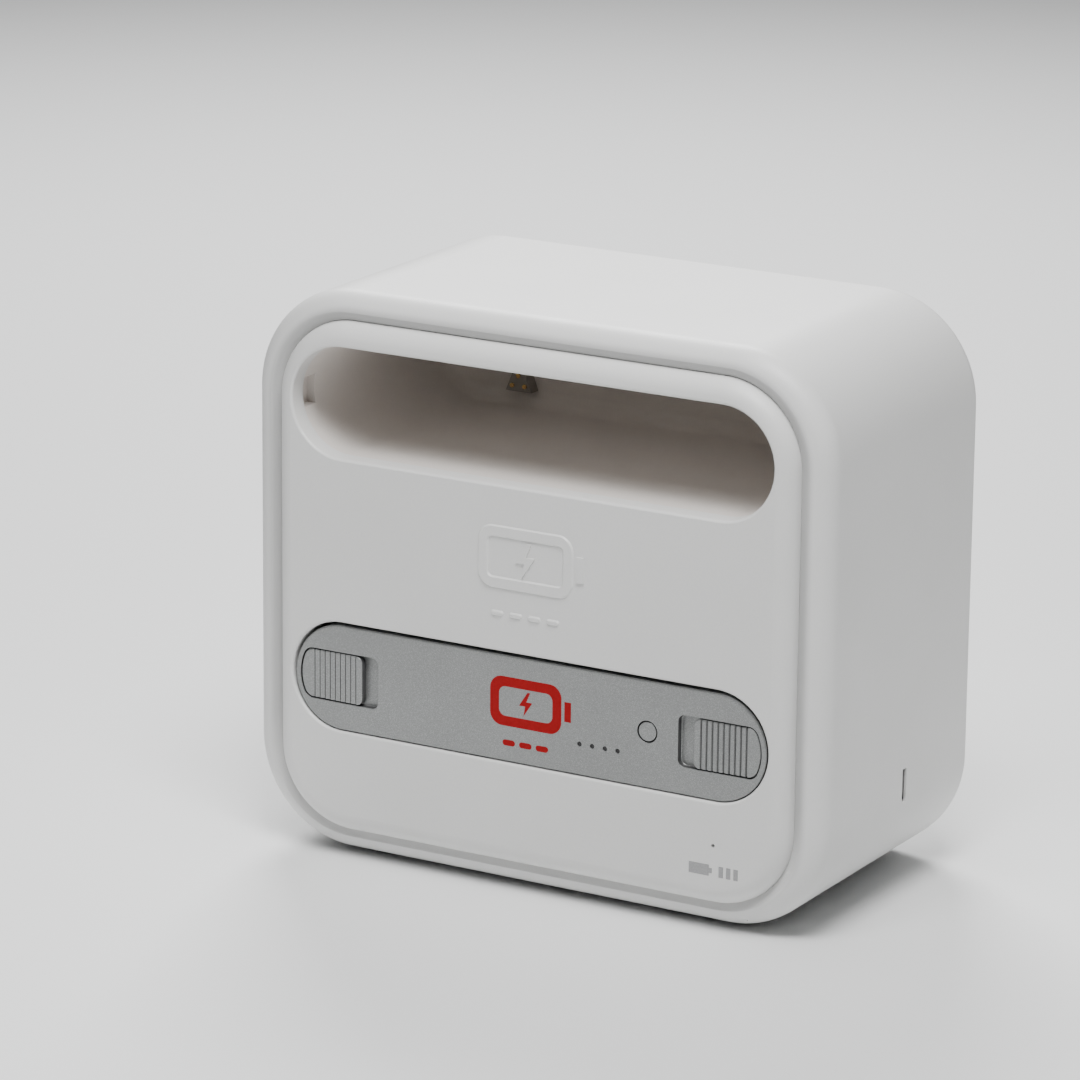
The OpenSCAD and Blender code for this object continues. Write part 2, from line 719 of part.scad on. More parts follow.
// Outline of the plug in a bay, narrow at the top so that a pack fits one way up only
module header_outline(play = 0) {
    low = -header_h / 2 - play;
    high = header_h / 2 + play;
    polygon([[-header_w / 2 - play, low], [header_w / 2 + play, low],
        [header_top_w / 2 + play, high], [-header_top_w / 2 - play, high]]);
}
module bay_header(z) {
    color(header_grey) at_face(z + header_z) difference() {
        translate([header_x, 0, 0]) slab(header_front, board_front) header_outline();
        at_header_pins() rod(0, 0, header_pin_r + touch, header_front - 1, board_front + 1);
    }
}
module at_header_pins() {
    for (pin = header_pins) translate([header_x + pin[0], 0, pin[1]]) children();
}
module bay_pins(z) {
    color(brass) at_face(z + header_z) at_header_pins()
        rod(0, 0, header_pin_r, header_front - header_pin_tip, board_front);
}
module upper_bay_header() { bay_header(upper_z); }
module lower_bay_header() { bay_header(lower_z); }
module upper_bay_pins() { bay_pins(upper_z); }
module lower_bay_pins() { bay_pins(lower_z); }

// Charging electronics
module main_circuit_board() {
    color(board_green) at_face() difference() {
        block(0, (board_top + board_bottom) / 2, board_w, board_top - board_bottom,
            board_front, board_back);
        at_board_screws() rod(0, 0, screw_hole_r + 0.2, board_front - 1, board_back + 1);
    }
}
module board_chips() {
    color(black) at_face() {
        block(0, middle_z, 12, 12, board_back, board_back + 1.2);
        for (x = [-30, 30]) block(x, middle_z + 14, 6, 5, board_back, board_back + 1.6);
        for (x = [-34, -24, 24, 34]) block(x, middle_z - 12, 6.6, 6.2, board_back, board_back + 2.2);
        block(-10, middle_z - 26, 5, 4, board_back, board_back + 1.4);
    }
}
module smoothing_capacitors() {
    color([0.10, 0.13, 0.30]) at_face()
        for (x = [12 - board_hole_x : capacitor_pitch : inductor_x - inductor_r - capacitor_r - 1]) {
            rod(x, middle_z, capacitor_r, board_front - 20, board_front);
            rod(x, middle_z, capacitor_r - 0.8, board_front - 20.8, board_front - 20);
        }
}
module power_inductor() {
    color([0.42, 0.20, 0.08]) at_face() translate([inductor_x, 0, middle_z]) difference() {
        rod(0, 0, inductor_r, board_front - 9, board_front);
        rod(0, 0, 3.2, board_front - 10, board_front - 1.5);
        for (a = [0 : 20 : 340]) rotate([0, a, 0]) block(inductor_r + 0.1, 0, 0.8, 0.7,
            board_front - 10, board_front - 1);
    }
}
module heat_sink() {
    side_fins = floor((sink_w - fin_t) / (2 * fin_pitch));
    color(steel) at_face() translate([sink_in + sink_w / 2, 0, middle_z]) {
        block(0, 0, sink_w, sink_h, board_front - 2.4, board_front);
        for (i = [-side_fins : side_fins])
            block(i * fin_pitch, 0, fin_t, sink_h, board_front - 18, board_front - 2);
    }
}
module board_connectors() {
    color(white) at_face() for (x = [inlet_x + 9, status_x - 5]) difference() {
        block(x, board_bottom + 4, 8, 6, board_back, board_back + 4.4);
        block(x, board_bottom + 1, 6.4, 6, board_back + 0.8, board_back + 3.6);
    }
}
module status_led_board() {
    color(board_green) at_face() difference() {
        block(status_x, status_z, 17, 9, status_board_depth, status_board_depth + 1.2);
        at_led_board_screws() rod(0, 0, 1.2, 0, status_board_depth + 3);
    }
}
module status_led() {
    color([0.85, 0.90, 0.86]) at_face() {
        rod(status_x, status_z, 1.5, 3.1, status_board_depth);
        translate([status_x, 3.1, status_z]) sphere(1.5);
    }
}
module dc_inlet() {
    color(black) at_face() difference() {
        union() {
            rod(inlet_x, inlet_z, inlet_body_r, body_d - inlet_body_len, body_d - 0.4);
            rod(inlet_x, inlet_z, inlet_flange_r, body_d - inlet_flange_t, body_d - 0.1);
        }
        rod(inlet_x, inlet_z, inlet_socket_r, body_d - 10, body_d + 1);
        rod(inlet_x, inlet_z, inlet_pin_r + touch, body_d - inlet_body_len - 1, body_d);
    }
}
module dc_inlet_pin() {
    color(brass) at_face()
        rod(inlet_x, inlet_z, inlet_pin_r, body_d - inlet_body_len - 1.5, body_d - 1.5);
}
module dc_inlet_nut() {
    color(steel) at_face() difference() {
        translate([inlet_x, 0, inlet_z]) slab(body_d - casing_wall - 2.5, body_d - casing_wall)
            circle(8.6, $fn = 6);
        rod(inlet_x, inlet_z, inlet_body_r + touch, body_d - 10, body_d);
    }
}
module inlet_lead() {
    start = body_d - inlet_body_len - touch;
    plug_x = inlet_x + 9;
    color(black) at_face() tube_along(smooth([
        [inlet_x + 3.4, start, inlet_z],
        [inlet_x + 3.4, start - 4, inlet_z],
        [inlet_x + 4.2, start - 8, inlet_z + 0.8],
        [inlet_x + 6.6, start - 10.6, inlet_z + 3],
        [plug_x, start - 8, inlet_z + 5.4],
        [plug_x, start - 2, inlet_z + 5.8],
        [plug_x, board_back - 2, board_bottom - 4.6],
        [plug_x, board_back + 1.4, board_bottom - 2.4],
        [plug_x, board_back + 2.2, board_bottom + 1]], 4), 0.9);
}
module status_lead() {
    back = status_board_depth + 1.2 + touch;
    plug_x = status_x - 5;
    color(black) at_face() tube_along(smooth([
        [status_x, back, status_z + 2],
        [status_x, back + 4, status_z + 2],
        [status_x - 1, back + 14, status_z + 1],
        [status_x - 3, 50, status_z - 2],
        [plug_x, board_front - 14, status_z + 2],
        [plug_x, board_back - 1.4, board_bottom - 5],
        [plug_x, board_back + 1.6, board_bottom - 2.4],
        [plug_x, board_back + 2.2, board_bottom + 1]], 4), 0.9);
}

// Cabinet: fasteners
module panel_screws() {
    color(steel) at_face() at_panel_screws() pan_screw(0, 0, ledge_back, 5.4);
}
module tray_screws() {
    color(steel) at_face() for (upper = [0, 1]) translate([0, 0, bay_zs[upper]])
        at_ears(upper == 1) pan_screw(0, 0, lip_depth + ear_t, 5);
}
module board_screws() {
    color(steel) at_face() at_board_screws() pan_screw(0, 0, board_back, 5);
}
module led_board_screws() {
    color(steel) at_face() at_led_board_screws()
        pan_screw(0, 0, status_board_depth + 1.2, 5, 0.9, 1.7, 1.2);
}
module rear_cover_screws() {
    color(steel) at_face() at_long_screws() pan_screw(0, 0, long_post_shelf, long_screw_len,
        long_screw_r, long_screw_head_r, long_screw_head_t);
}

// Battery pack: face and shells
module recess_outline(play) {
    intersection() {
        union() {
            translate([pack_end_x, 0]) circle(thumb_end_r + thumb_gap - play);
            translate([recess_in + play - 20, -20]) square([pack_end_x - recess_in - play + 20, 40]);
        }
        translate([recess_in + play + 20, 0])
            round_rect(40, recess_h - 2 * play, recess_corner_r);
    }
}
module thumb_outline() {
    intersection() {
        union() {
            translate([pack_end_x, 0]) circle(thumb_end_r);
            translate([0, -20]) square([pack_end_x, 40]);
        }
        translate([thumb_in + 20, 0]) round_rect(40, recess_h - 2 * thumb_gap, recess_corner_r);
    }
}
module pack_face_plate() {
    color(silver) at_face(pack_z) difference() {
        union() {
            swept_stadium(pack_end_x) plate_section();
            for (sx = [-1, 1], sz = [-1, 1]) translate([sx * clip_x, 0, 0]) {
                block(0, sz * (shell_in_r - 0.25 - clip_t / 2), clip_w, clip_t,
                    plate_back - 0.5, clip_depth);
                block(0, sz * (shell_in_r + 0.1), clip_w, 1.4, clip_depth - 1.6, clip_depth);
            }
        }
        for (side = [0, 1]) mirror([side, 0, 0]) {
            slab(pack_face - 1, recess_floor) recess_outline(0);
            block(stem_in + stem_len / 2 - latch_travel / 2, 0, stem_len + latch_travel + 0.6,
                stem_h + 0.6, pack_face, plate_back + 1);
        }
        for (i = [0 : 3]) rod(lamp_x + i * lamp_pitch, lamp_z, lamp_d / 2, 0, plate_back + 1);
        rod(button_x, button_z, button_d / 2 + 0.3, 0, plate_back + 1);
        slab(pack_face - 1, pack_face + 0.25) pack_symbol_outline(0.06);
    }
}
module plate_section() {
    polygon([[0, pack_face], [pack_r - plate_bevel, pack_face],
        [pack_r, pack_face + plate_bevel], [pack_r, plate_back], [0, plate_back]]);
}
module pack_symbol_outline(play = 0) {
    translate([0, 2.2]) {
        difference() {
            round_rect(24 + 2 * play, 15 + 2 * play, 4 + play);
            round_rect(24 - 6 - 2 * play, 15 - 6 - 2 * play, 2.2 - play);
        }
        translate([12 + 2.1, 0]) square([2.2 + 2 * play, 6 + 2 * play], center = true);
        translate([0, 0]) bolt_outline(7.4 + 2 * play);
    }
    translate([0, -10.4]) bars(3, 4.2 + 2 * play, 1.8 + 2 * play, 5.6);
}
module pack_symbol() {
    color(ink_red) at_face(pack_z) slab(pack_face - 0.03, pack_face + 0.22)
        pack_symbol_outline();
}

// Lower half of the pack's housing, before its holes
module half_shell() {
    rail_z = bolt_h / 2 + 0.3;
    intersection() {
        union() {
            difference() {
                swept_stadium(pack_end_x)
                    round_back_section(pack_r, plate_back + touch, pack_back, pack_back_r);
                swept_stadium(pack_end_x) round_back_section(shell_in_r, plate_back - 1,
                    pack_back - shell_wall, pack_back_r - shell_wall);
            }
            intersection() {
                slab(plate_back + touch, pack_back - pack_back_r)
                    stadium(pack_w - shell_wall, pack_r - shell_wall / 2);
                for (sx = [-1, 1]) {
                    for (depth = post_depths) translate([sx * post_x, depth, 0])
                        cylinder(h = 2 * pack_r, r = post_r, center = true);
                    block(sx * (bolt_in + bolt_out) / 2, -rail_z - 10, bolt_out - bolt_in - 6, 20,
                        plate_back + 0.3, bolt_back + 1);
                    block(sx * (spring_post_x + 0.9), -10, 1.8, 20,
                        plate_back + 0.3, bolt_back + 1);
                }
            }
        }
        translate([-pack_w, 0, -2 * pack_r - touch / 2]) cube([2 * pack_w, 2 * pack_back, 2 * pack_r]);
    }
}
// One half of the pack's housing: side 1 is the upper, side -1 the lower
module pack_shell(side) {
    color(black) at_face(pack_z) difference() {
        mirror([0, 0, side > 0 ? 1 : 0]) half_shell();
        for (sx = [-1, 1]) {
            block(sx * pack_w / 2, 0, 12, tongue_h + 0.8, tongue_front - 0.4, tongue_back + 0.4);
            for (depth = post_depths) translate([sx * post_x, depth, 0]) {
                if (side < 0) {
                    translate([0, 0, -pack_r - 1])
                        cylinder(h = pack_screw_seat + 1, r = screw_head_r + 0.3);
                    translate([0, 0, -pack_r]) cylinder(h = pack_r + 1, r = screw_hole_r + 0.2);
                } else {
                    translate([0, 0, -1]) cylinder(h = pack_screw_len + pack_screw_seat
                        - pack_r + 1.5, r = screw_hole_r);
                }
            }
            translate([sx * (spring_post_x + 2.4), spring_depth, 0]) rotate([0, 90, 0])
                cylinder(h = 3, r = spring_r + spring_wire_r + 0.3, center = true);
            block(sx * clip_x, side * pack_r, clip_w + 0.6, 6, clip_depth - 1.8, clip_depth + 0.2);
        }
        if (side < 0) translate([header_x, 0, header_rel_z])
            slab(pack_back - pack_back_r, pack_back + 1)
                header_outline(socket_play + socket_wall + 0.15);
    }
}
module pack_lower_shell() { pack_shell(-1); }
module pack_upper_shell() { pack_shell(1); }
module pack_screws() {
    color(steel) at_face(pack_z) for (sx = [-1, 1], depth = post_depths)
        translate([sx * post_x, depth, pack_screw_seat - pack_r]) difference() {
            union() {
                cylinder(h = pack_screw_len, r = screw_r);
                translate([0, 0, -screw_head_t]) cylinder(h = screw_head_t, r = screw_head_r);
            }
            for (turn = [0, 90]) translate([0, 0, -screw_head_t]) rotate([0, 0, turn])
                cube([screw_head_r * 1.2, 0.5, 1.6], center = true);
        }
}

// Battery pack: cells and electronics
module at_cells() {
    for (i = [0 : cell_count - 1]) translate([(i - (cell_count - 1) / 2) * cell_pitch, 0, 0])
        children();
}
module battery_cells() {
    color([0.15, 0.38, 0.55]) at_face(pack_z) at_cells() difference() {
        union() {
            rod(0, 0, cell_r, cell_front, cell_back - 1.2);
            rod(0, 0, cell_r - 3.2, cell_front, cell_back);
        }
        difference() {
            rod(0, 0, cell_r + 1, cell_front + 1.4, cell_front + 2.2);
            rod(0, 0, cell_r - 0.4, cell_front + 1, cell_front + 3);
        }
    }
}
module cell_holder(from) {
    w = (cell_count - 1) * cell_pitch + 2 * cell_r + 5.2;
    h = 2 * (shell_in_r - holder_gap);
    color([0.16, 0.16, 0.17]) at_face(pack_z) difference() {
        block(0, 0, w, h, from, from + holder_t);
        at_cells() rod(0, 0, cell_r + 0.1, from - 1, from + holder_t + 1);
    }
}
module front_cell_holder() { cell_holder(cell_front + 3); }
module rear_cell_holder() { cell_holder(cell_back - 3 - holder_t); }
module nickel_strips() {
    pairs = floor(cell_count / 2);
    color(steel) at_face(pack_z) for (i = [0 : pairs - 1]) {
        mid = (2 * i - (cell_count - 2) / 2) * cell_pitch;
        block(mid, 0, cell_pitch + 9, 7, cell_front - strip_t, cell_front);
        block(mid, 0, cell_pitch + 9, 7, cell_back, cell_back + strip_t);
    }
}
module pack_circuit_board() {
    color(board_green) at_face(pack_z) difference() {
        block((pack_board_x0 + pack_board_x1) / 2, 0, pack_board_x1 - pack_board_x0,
            pack_board_h, pack_board_front, pack_board_back);
        block(pack_board_x0 + 14, 0, 3, 5, pack_board_front - 1, pack_board_back + 1);
    }
}
module pack_board_chips() {
    color(black) at_face(pack_z) {
        for (x = [26, 36, 46])
            block(pack_board_x0 + x, 6, 6, 5, pack_board_back, pack_board_back + 1.2);
        block(pack_board_x0 + 20, 4, 7, 7, pack_board_front - 1.2, pack_board_front);
        block(lamp_x - 14, -2, 9, 6, pack_board_front - 1.2, pack_board_front);
    }
}
module charge_leds() {
    color([0.88, 0.92, 0.84]) at_face(pack_z) for (i = [0 : 3])
        block(lamp_x + i * lamp_pitch, lamp_z, 2, 1.4, pack_board_front - 0.7, pack_board_front);
}
module light_guide() {
    mid = lamp_x + 1.5 * lamp_pitch;
    color([0.75, 0.78, 0.80]) at_face(pack_z) {
        for (i = [0 : 3])
            rod(lamp_x + i * lamp_pitch, lamp_z, lamp_d / 2 - touch, pack_face + 0.35, 6);
        block(mid, lamp_z, 3 * lamp_pitch + 4, 4, plate_back + 0.15, pack_board_front - 1);
    }
}
module check_switch() {
    color(black) at_face(pack_z) {
        block(button_x, button_z, 6, 6, pack_board_front - 1.4, pack_board_front);
        rod(button_x, button_z, 1.5, button_flange + button_flange_t + button_travel + touch,
            pack_board_front - 1.4);
    }
}
module check_button() {
    color(silver) at_face(pack_z) {
        rod(button_x, button_z, button_d / 2, pack_face + 0.3, button_flange + 0.1);
        rod(button_x, button_z, button_d / 2 + 1.3, button_flange,
            button_flange + button_flange_t);
    }
}
module pack_socket() {
    color(black) at_face(pack_z + header_rel_z) difference() {
        translate([header_x, 0, 0])
            slab(socket_base, socket_back) header_outline(socket_play + socket_wall);
        translate([header_x, 0, 0]) slab(socket_floor, socket_back + 1) header_outline(socket_play);
        at_header_pins() rod(0, 0, 1.1 + touch, socket_floor - 0.4, socket_floor + 1);
    }
}
module pack_contacts() {
    color(brass) at_face(pack_z + header_rel_z) at_header_pins()
        rod(0, 0, 1.1, socket_floor - 0.4, socket_floor - touch);
}
module pack_leads() {
    edge_x = (cell_count - 1) * cell_pitch / 2 + cell_r + 4.2;
    color([0.70, 0.08, 0.08]) at_face(pack_z) for (row = [0, 1]) tube_along(smooth([
        [header_x - 2.2 * (1 - row), socket_base - touch, header_rel_z - 2 + row * 3],
        [header_x - 2.2 * (1 - row), socket_base - 0.6, header_rel_z - 2 + row * 3],
        [header_x - 1 - 2.2 * (1 - row), socket_base - 1.4, header_rel_z - 2 + row * 3],
        [header_x - 5, socket_base - 1.6, header_rel_z - 2 + row * 3],
        [1.4 - edge_x, socket_base - 2.4, header_rel_z - 1.4 + row * 3],
        [-edge_x, socket_base - 7, header_rel_z + 2.5 + row * 3],
        [-edge_x, (cell_front + cell_back) / 2, row * 3],
        [-edge_x, cell_front + 8, 10 + row * 2.1],
        [-edge_x + 1, cell_front + 2, 10.4 + row * 2.1],
        [-edge_x + 5, cell_front + 1.1, 10.4 + row * 2.1],
        [pack_board_x0 - 3, cell_front + 1.1, 10.4 + row * 2.1],
        [pack_board_x0 + 3, pack_board_back + 0.75, 10.4 + row * 2.1],
        [pack_board_x0 + 6, pack_board_back + 0.7, 10.4 + row * 2.1]], 4), 0.65, 6);
}

// Latches: the left one is drawn, and the right one is its mirror image
module thumb_piece() {
    top_out = pack_face + thumb_rise_out;
    top_in = pack_face + thumb_rise_in;
    lean = atan2(top_out - top_in, thumb_len);
    first_grip = thumb_in + 2;
    color(silver) at_face(pack_z) difference() {
        union() {
            intersection() {
                slab(top_in - 1, thumb_back) thumb_outline();
                translate([thumb_in, top_in, 0]) rotate([0, 0, lean])
                    translate([-5, 0, -recess_h]) cube([thumb_len + 10, 9, 2 * recess_h]);
            }
            block(stem_in + stem_len / 2, 0, stem_len, stem_h, thumb_back - 0.4, stem_back);
        }
        for (i = [0 : grip_count - 1])
            translate([first_grip + i * grip_pitch,
                top_in + (first_grip + i * grip_pitch - thumb_in) * tan(lean), 0])
                rotate([0, 0, 45]) cube([grip_w, grip_w, 2 * recess_h], center = true);
        rod(stem_in + stem_len / 2, 0, 0.85, thumb_back, stem_back + 1);
    }
}
module latch_bolt() {
    color([0.20, 0.20, 0.21]) at_face(pack_z) difference() {
        union() {
            block((bolt_in + bolt_out) / 2, 0, bolt_out - bolt_in, bolt_h, bolt_front, bolt_back);
            block((bolt_out + tongue_tip) / 2 - 1, 0, tongue_tip - bolt_out + 2, tongue_h,
                tongue_front, tongue_back);
            translate([bolt_in, spring_depth, 0]) rotate([0, -90, 0])
                cylinder(h = spigot_len, r = spigot_r);
        }
        block(stem_in + stem_len / 2, 0, stem_len + 0.1, stem_h + 0.1, bolt_front - 1, stem_back);
        rod(stem_in + stem_len / 2, 0, 1.0, stem_back - 1, bolt_back + 1);
        rod(stem_in + stem_len / 2, 0, 2.0, bolt_back - 1.3, bolt_back + 1);
        translate([tongue_tip, 0, 0]) for (end = [-1, 1])
            translate([0, tongue_front, end * tongue_h / 2]) rotate([0, 0, 0])
                rotate([0, 45, 0]) cube([1.2, 20, 1.2], center = true);
    }
}
module latch_screw() {
    color(steel) at_face(pack_z) pan_screw(stem_in + stem_len / 2, 0, bolt_back - 1.3, 5.2, 0.8,
        1.8, 1.1);
}
module latch_spring() {
    room = bolt_in - spring_post_x - 1.8;
    steps = 10;
    inset = spring_wire_r + 0.15;
    color(steel) at_face(pack_z) translate([spring_post_x + 1.8, spring_depth, 0])
        tube_along([for (i = [0 : spring_turns * steps]) let (a = 360 * i / steps)
            [inset + (room - 2 * inset) * i / (spring_turns * steps),
                spring_r * cos(a), spring_r * sin(a)]], spring_wire_r, 6);
}
module right_thumb_piece() { thumb_piece(); }
module right_latch_bolt() { latch_bolt(); }
module right_latch_screw() { latch_screw(); }
module right_latch_spring() { latch_spring(); }
module left_thumb_piece() { mirror([1, 0, 0]) thumb_piece(); }
module left_latch_bolt() { mirror([1, 0, 0]) latch_bolt(); }
module left_latch_screw() { mirror([1, 0, 0]) latch_screw(); }
module left_latch_spring() { mirror([1, 0, 0]) latch_spring(); }

front_casing();
rear_cover();
front_panel();
upper_bay_tray();
lower_bay_tray();
upper_bay_header();
lower_bay_header();
upper_bay_pins();
lower_bay_pins();
main_circuit_board();
board_chips();
smoothing_capacitors();
power_inductor();
heat_sink();
board_connectors();
status_led_board();
status_led();
status_symbol();
dc_inlet();
dc_inlet_nut();
dc_inlet_pin();
inlet_lead();
status_lead();
panel_screws();
tray_screws();
board_screws();
led_board_screws();
rear_cover_screws();
rubber_feet();
pack_face_plate();
pack_symbol();
pack_lower_shell();
pack_upper_shell();
battery_cells();
front_cell_holder();
rear_cell_holder();
nickel_strips();
pack_circuit_board();
pack_board_chips();
charge_leds();
light_guide();
check_switch();
pack_socket();
pack_contacts();
pack_leads();
pack_screws();
left_latch_spring();
right_latch_spring();
left_thumb_piece();
left_latch_bolt();
left_latch_screw();
right_thumb_piece();
right_latch_bolt();
right_latch_screw();
check_button();
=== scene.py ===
"""Looks of a two-bay battery charging cabinet with one pack in its lower bay.

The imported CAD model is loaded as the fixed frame. Pieces whose CAD shape is right keep it and
are dressed in a detailed finish. The pack's face plate, its two thumb pieces, its check button
and the cabinet's feet get finer meshes, drawn in millimetres and stood up in the frame.
"""

import logging
import math
from dataclasses import dataclass, field
from enum import Enum
from typing import ClassVar

import bmesh
import bpy
from bmesh.types import BMEdge, BMFace, BMVert
from mathutils import Euler, Matrix, Vector

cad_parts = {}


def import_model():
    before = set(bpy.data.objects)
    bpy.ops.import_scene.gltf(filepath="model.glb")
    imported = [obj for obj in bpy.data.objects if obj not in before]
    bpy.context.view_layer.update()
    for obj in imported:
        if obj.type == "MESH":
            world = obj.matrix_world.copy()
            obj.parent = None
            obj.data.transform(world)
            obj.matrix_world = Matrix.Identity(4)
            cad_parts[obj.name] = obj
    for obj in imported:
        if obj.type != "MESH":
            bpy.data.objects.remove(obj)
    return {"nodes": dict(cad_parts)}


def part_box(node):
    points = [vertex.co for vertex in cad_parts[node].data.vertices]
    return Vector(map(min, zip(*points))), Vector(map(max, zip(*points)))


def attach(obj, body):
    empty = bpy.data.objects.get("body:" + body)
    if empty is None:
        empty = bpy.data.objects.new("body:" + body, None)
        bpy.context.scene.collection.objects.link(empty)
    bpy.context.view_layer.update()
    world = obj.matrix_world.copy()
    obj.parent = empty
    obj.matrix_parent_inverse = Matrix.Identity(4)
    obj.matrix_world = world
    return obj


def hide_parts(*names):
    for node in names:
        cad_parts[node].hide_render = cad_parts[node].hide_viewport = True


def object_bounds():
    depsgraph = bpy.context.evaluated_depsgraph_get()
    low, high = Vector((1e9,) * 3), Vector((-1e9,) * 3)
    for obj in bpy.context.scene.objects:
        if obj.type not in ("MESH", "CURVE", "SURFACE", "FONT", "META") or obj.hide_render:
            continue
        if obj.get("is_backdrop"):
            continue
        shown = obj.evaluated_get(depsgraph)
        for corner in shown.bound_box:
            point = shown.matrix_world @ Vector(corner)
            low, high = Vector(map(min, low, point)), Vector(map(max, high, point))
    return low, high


log = logging.getLogger("cabinet")

Rgb = tuple[float, float, float]
Xyz = tuple[float, float, float]
Span = tuple[float, float]
Socket = bpy.types.NodeSocket
ORIGIN: Xyz = (0.0, 0.0, 0.0)
MM = 0.001
RIGHT_ANGLE = math.pi / 2
HAIR = 1e-5  # the least inset and the cutting tolerance, in millimetres
WELD = 2e-5  # vertices closer than this are merged, in millimetres


class Body(Enum):
    """The rigid bodies of the frame that new pieces ride on."""

    CABINET = "cabinet"
    PACK = "battery_pack"
    LEFT_LATCH = "left_latch"
    RIGHT_LATCH = "right_latch"
    CHECK_BUTTON = "check_button_body"


class Slot(Enum):
    """The record's material slots for new pieces."""

    SILVER = "pack_silver"
    RUBBER = "foot_rubber"


class Side(Enum):
    """The side of the pack that a latch is on, as the sign of its x."""

    LEFT = -1
    RIGHT = 1


class Round(Enum):
    """The quarter rounds that a face can be carried over."""

    BOSS_EDGE = "up over a convex edge"
    HOLE_EDGE = "down over a convex edge"
    WALL_FOOT = "down over a concave foot"


# Shader graphs


class Shader:
    """The node graph of one material, with short calls for the textures a finish needs."""

    # Where a Mix node takes and gives colours
    mix_inputs: ClassVar[tuple[int, int]] = (6, 7)
    mix_output: ClassVar[int] = 2

    def __init__(self, name: str) -> None:
        """Starts a material.

        Args:
            name: The material's name.
        """
        self.material = bpy.data.materials.new(name)
        self.material.use_nodes = True
        self.tree = self.material.node_tree
        self.surface = self.tree.nodes["Principled BSDF"]

    def node(self, kind: str, **settings: object) -> bpy.types.Node:
        """Adds a node.

        Args:
            kind: The node's type, without the leading "ShaderNode".
            **settings: Properties of the node.

        Returns:
            The new node.
        """
        made = self.tree.nodes.new("ShaderNode" + kind)
        for key, value in settings.items():
            setattr(made, key, value)
        return made

    def feed(self, socket: Socket, value: object) -> None:
        """Links a socket to another node's output, or sets it to a plain value.

        Args:
            socket: The input to fill.
            value: An output socket, a number, or a sequence of numbers.
        """
        if isinstance(value, Socket):
            self.tree.links.new(value, socket)
        else:
            socket.default_value = value

    def surface_values(self, **values: object) -> None:
        """Fills sockets of the surface shader, whose names are given with _ for a space."""
        for key, value in values.items():
            socket = self.surface.inputs[key.replace("_", " ")]
            self.feed(socket, (*value, 1.0) if isinstance(value, tuple) else value)

    def coordinates(self, centre: Xyz = ORIGIN, stretch: Xyz = (1.0, 1.0, 1.0)) -> Socket:
        """Object coordinates, centred on a point and stretched from there.

        Args:
            centre: The point of the frame that becomes the origin, in metres.
            stretch: A factor for each axis.

        Returns:
            The vector output.
        """
        mapped = self.node("Mapping", vector_type="POINT")
        self.feed(mapped.inputs["Vector"], self.node("TexCoord").outputs["Object"])
        mapped.inputs["Location"].default_value = [-c * k for c, k in zip(centre, stretch)]
        mapped.inputs["Scale"].default_value = stretch
        return mapped.outputs[0]

    def axes(self, centre: Xyz = ORIGIN) -> tuple[Socket, ...]:
        """The x, y and z of object coordinates, counted from a point of the frame."""
        split = self.node("SeparateXYZ")
        self.feed(split.inputs[0], self.coordinates(centre))
        return tuple(split.outputs)

    def noise(self, where: Socket, grain: float, detail: float = 2.0) -> Socket:
        """Cloudy noise whose features are about one grain across.

        Args:
            where: The vector the noise is read at.
            grain: Size of a feature, in metres.
            detail: Octaves of finer noise.

        Returns:
            The factor output.
        """
        texture = self.node("TexNoise")
        self.feed(texture.inputs["Vector"], where)
        texture.inputs["Scale"].default_value = 1.0 / grain
        texture.inputs["Detail"].default_value = detail
        return texture.outputs[0]

    def cells(self, where: Socket, grain: float, **settings: object) -> bpy.types.Node:
        """A cellular texture whose cells are about one grain across.

        Args:
            where: The vector the texture is read at.
            grain: Size of a cell, in metres.
            **settings: Properties of the texture.

        Returns:
            The texture node.
        """
        texture = self.node("TexVoronoi", **settings)
        self.feed(texture.inputs["Vector"], where)
        texture.inputs["Scale"].default_value = 1.0 / grain
        return texture

    def stretch_to(
        self, value: Socket, low: float = 0.0, high: float = 1.0, source: Span = (0.3, 0.7)
    ) -> Socket:
        """Maps a texture's usual range to a range of values.

        Args:
            value: The texture's output.
            low: Result at the low end.
            high: Result at the high end.
            source: The texture's own range.

        Returns:
            The mapped output.
        """
        mapped = self.node("MapRange")
        self.feed(mapped.inputs["Value"], value)
        for label, number in zip(
            ("From Min", "From Max", "To Min", "To Max"), (*source, low, high)
        ):
            mapped.inputs[label].default_value = number
        return mapped.outputs[0]

    def blend(
        self, factor: object, first: object, second: object, mode: str = "MIX"
    ) -> Socket:
        """Blends two colours.

        Args:
            factor: How far the second colour shows.
            first: The colour at factor 0.
            second: The colour at factor 1.
            mode: The way the second colour is laid on the first.

        Returns:
            The blended colour.
        """
        mixed = self.node("Mix", data_type="RGBA", blend_type=mode)
        self.feed(mixed.inputs[0], factor)
        for index, colour in zip(self.mix_inputs, (first, second)):
            value = (*colour, 1.0) if isinstance(colour, tuple) else colour
            self.feed(mixed.inputs[index], value)
        return mixed.outputs[self.mix_output]

    def maths(self, operation: str, *values: object) -> Socket:
        """One step of arithmetic on textures, for example "MULTIPLY"."""
        step = self.node("Math", operation=operation)
        for socket, value in zip(step.inputs, values):
            self.feed(socket, value)
        return step.outputs[0]

    def relief(self, height: Socket, depth: float) -> None:
        """Raises the surface by a texture, and keeps any relief that is already there.

        Args:
            height: The texture, from 0 to 1.
            depth: Height of a value of 1, in metres.
        """
        bump = self.node("Bump")
        self.feed(bump.inputs["Height"], height)
        bump.inputs["Distance"].default_value = depth
        bump.inputs["Strength"].default_value = 1.0
        links = self.surface.inputs["Normal"].links
        if links:
            self.feed(bump.inputs["Normal"], links[0].from_socket)
        self.feed(self.surface.inputs["Normal"], bump.outputs[0])


# Finishes


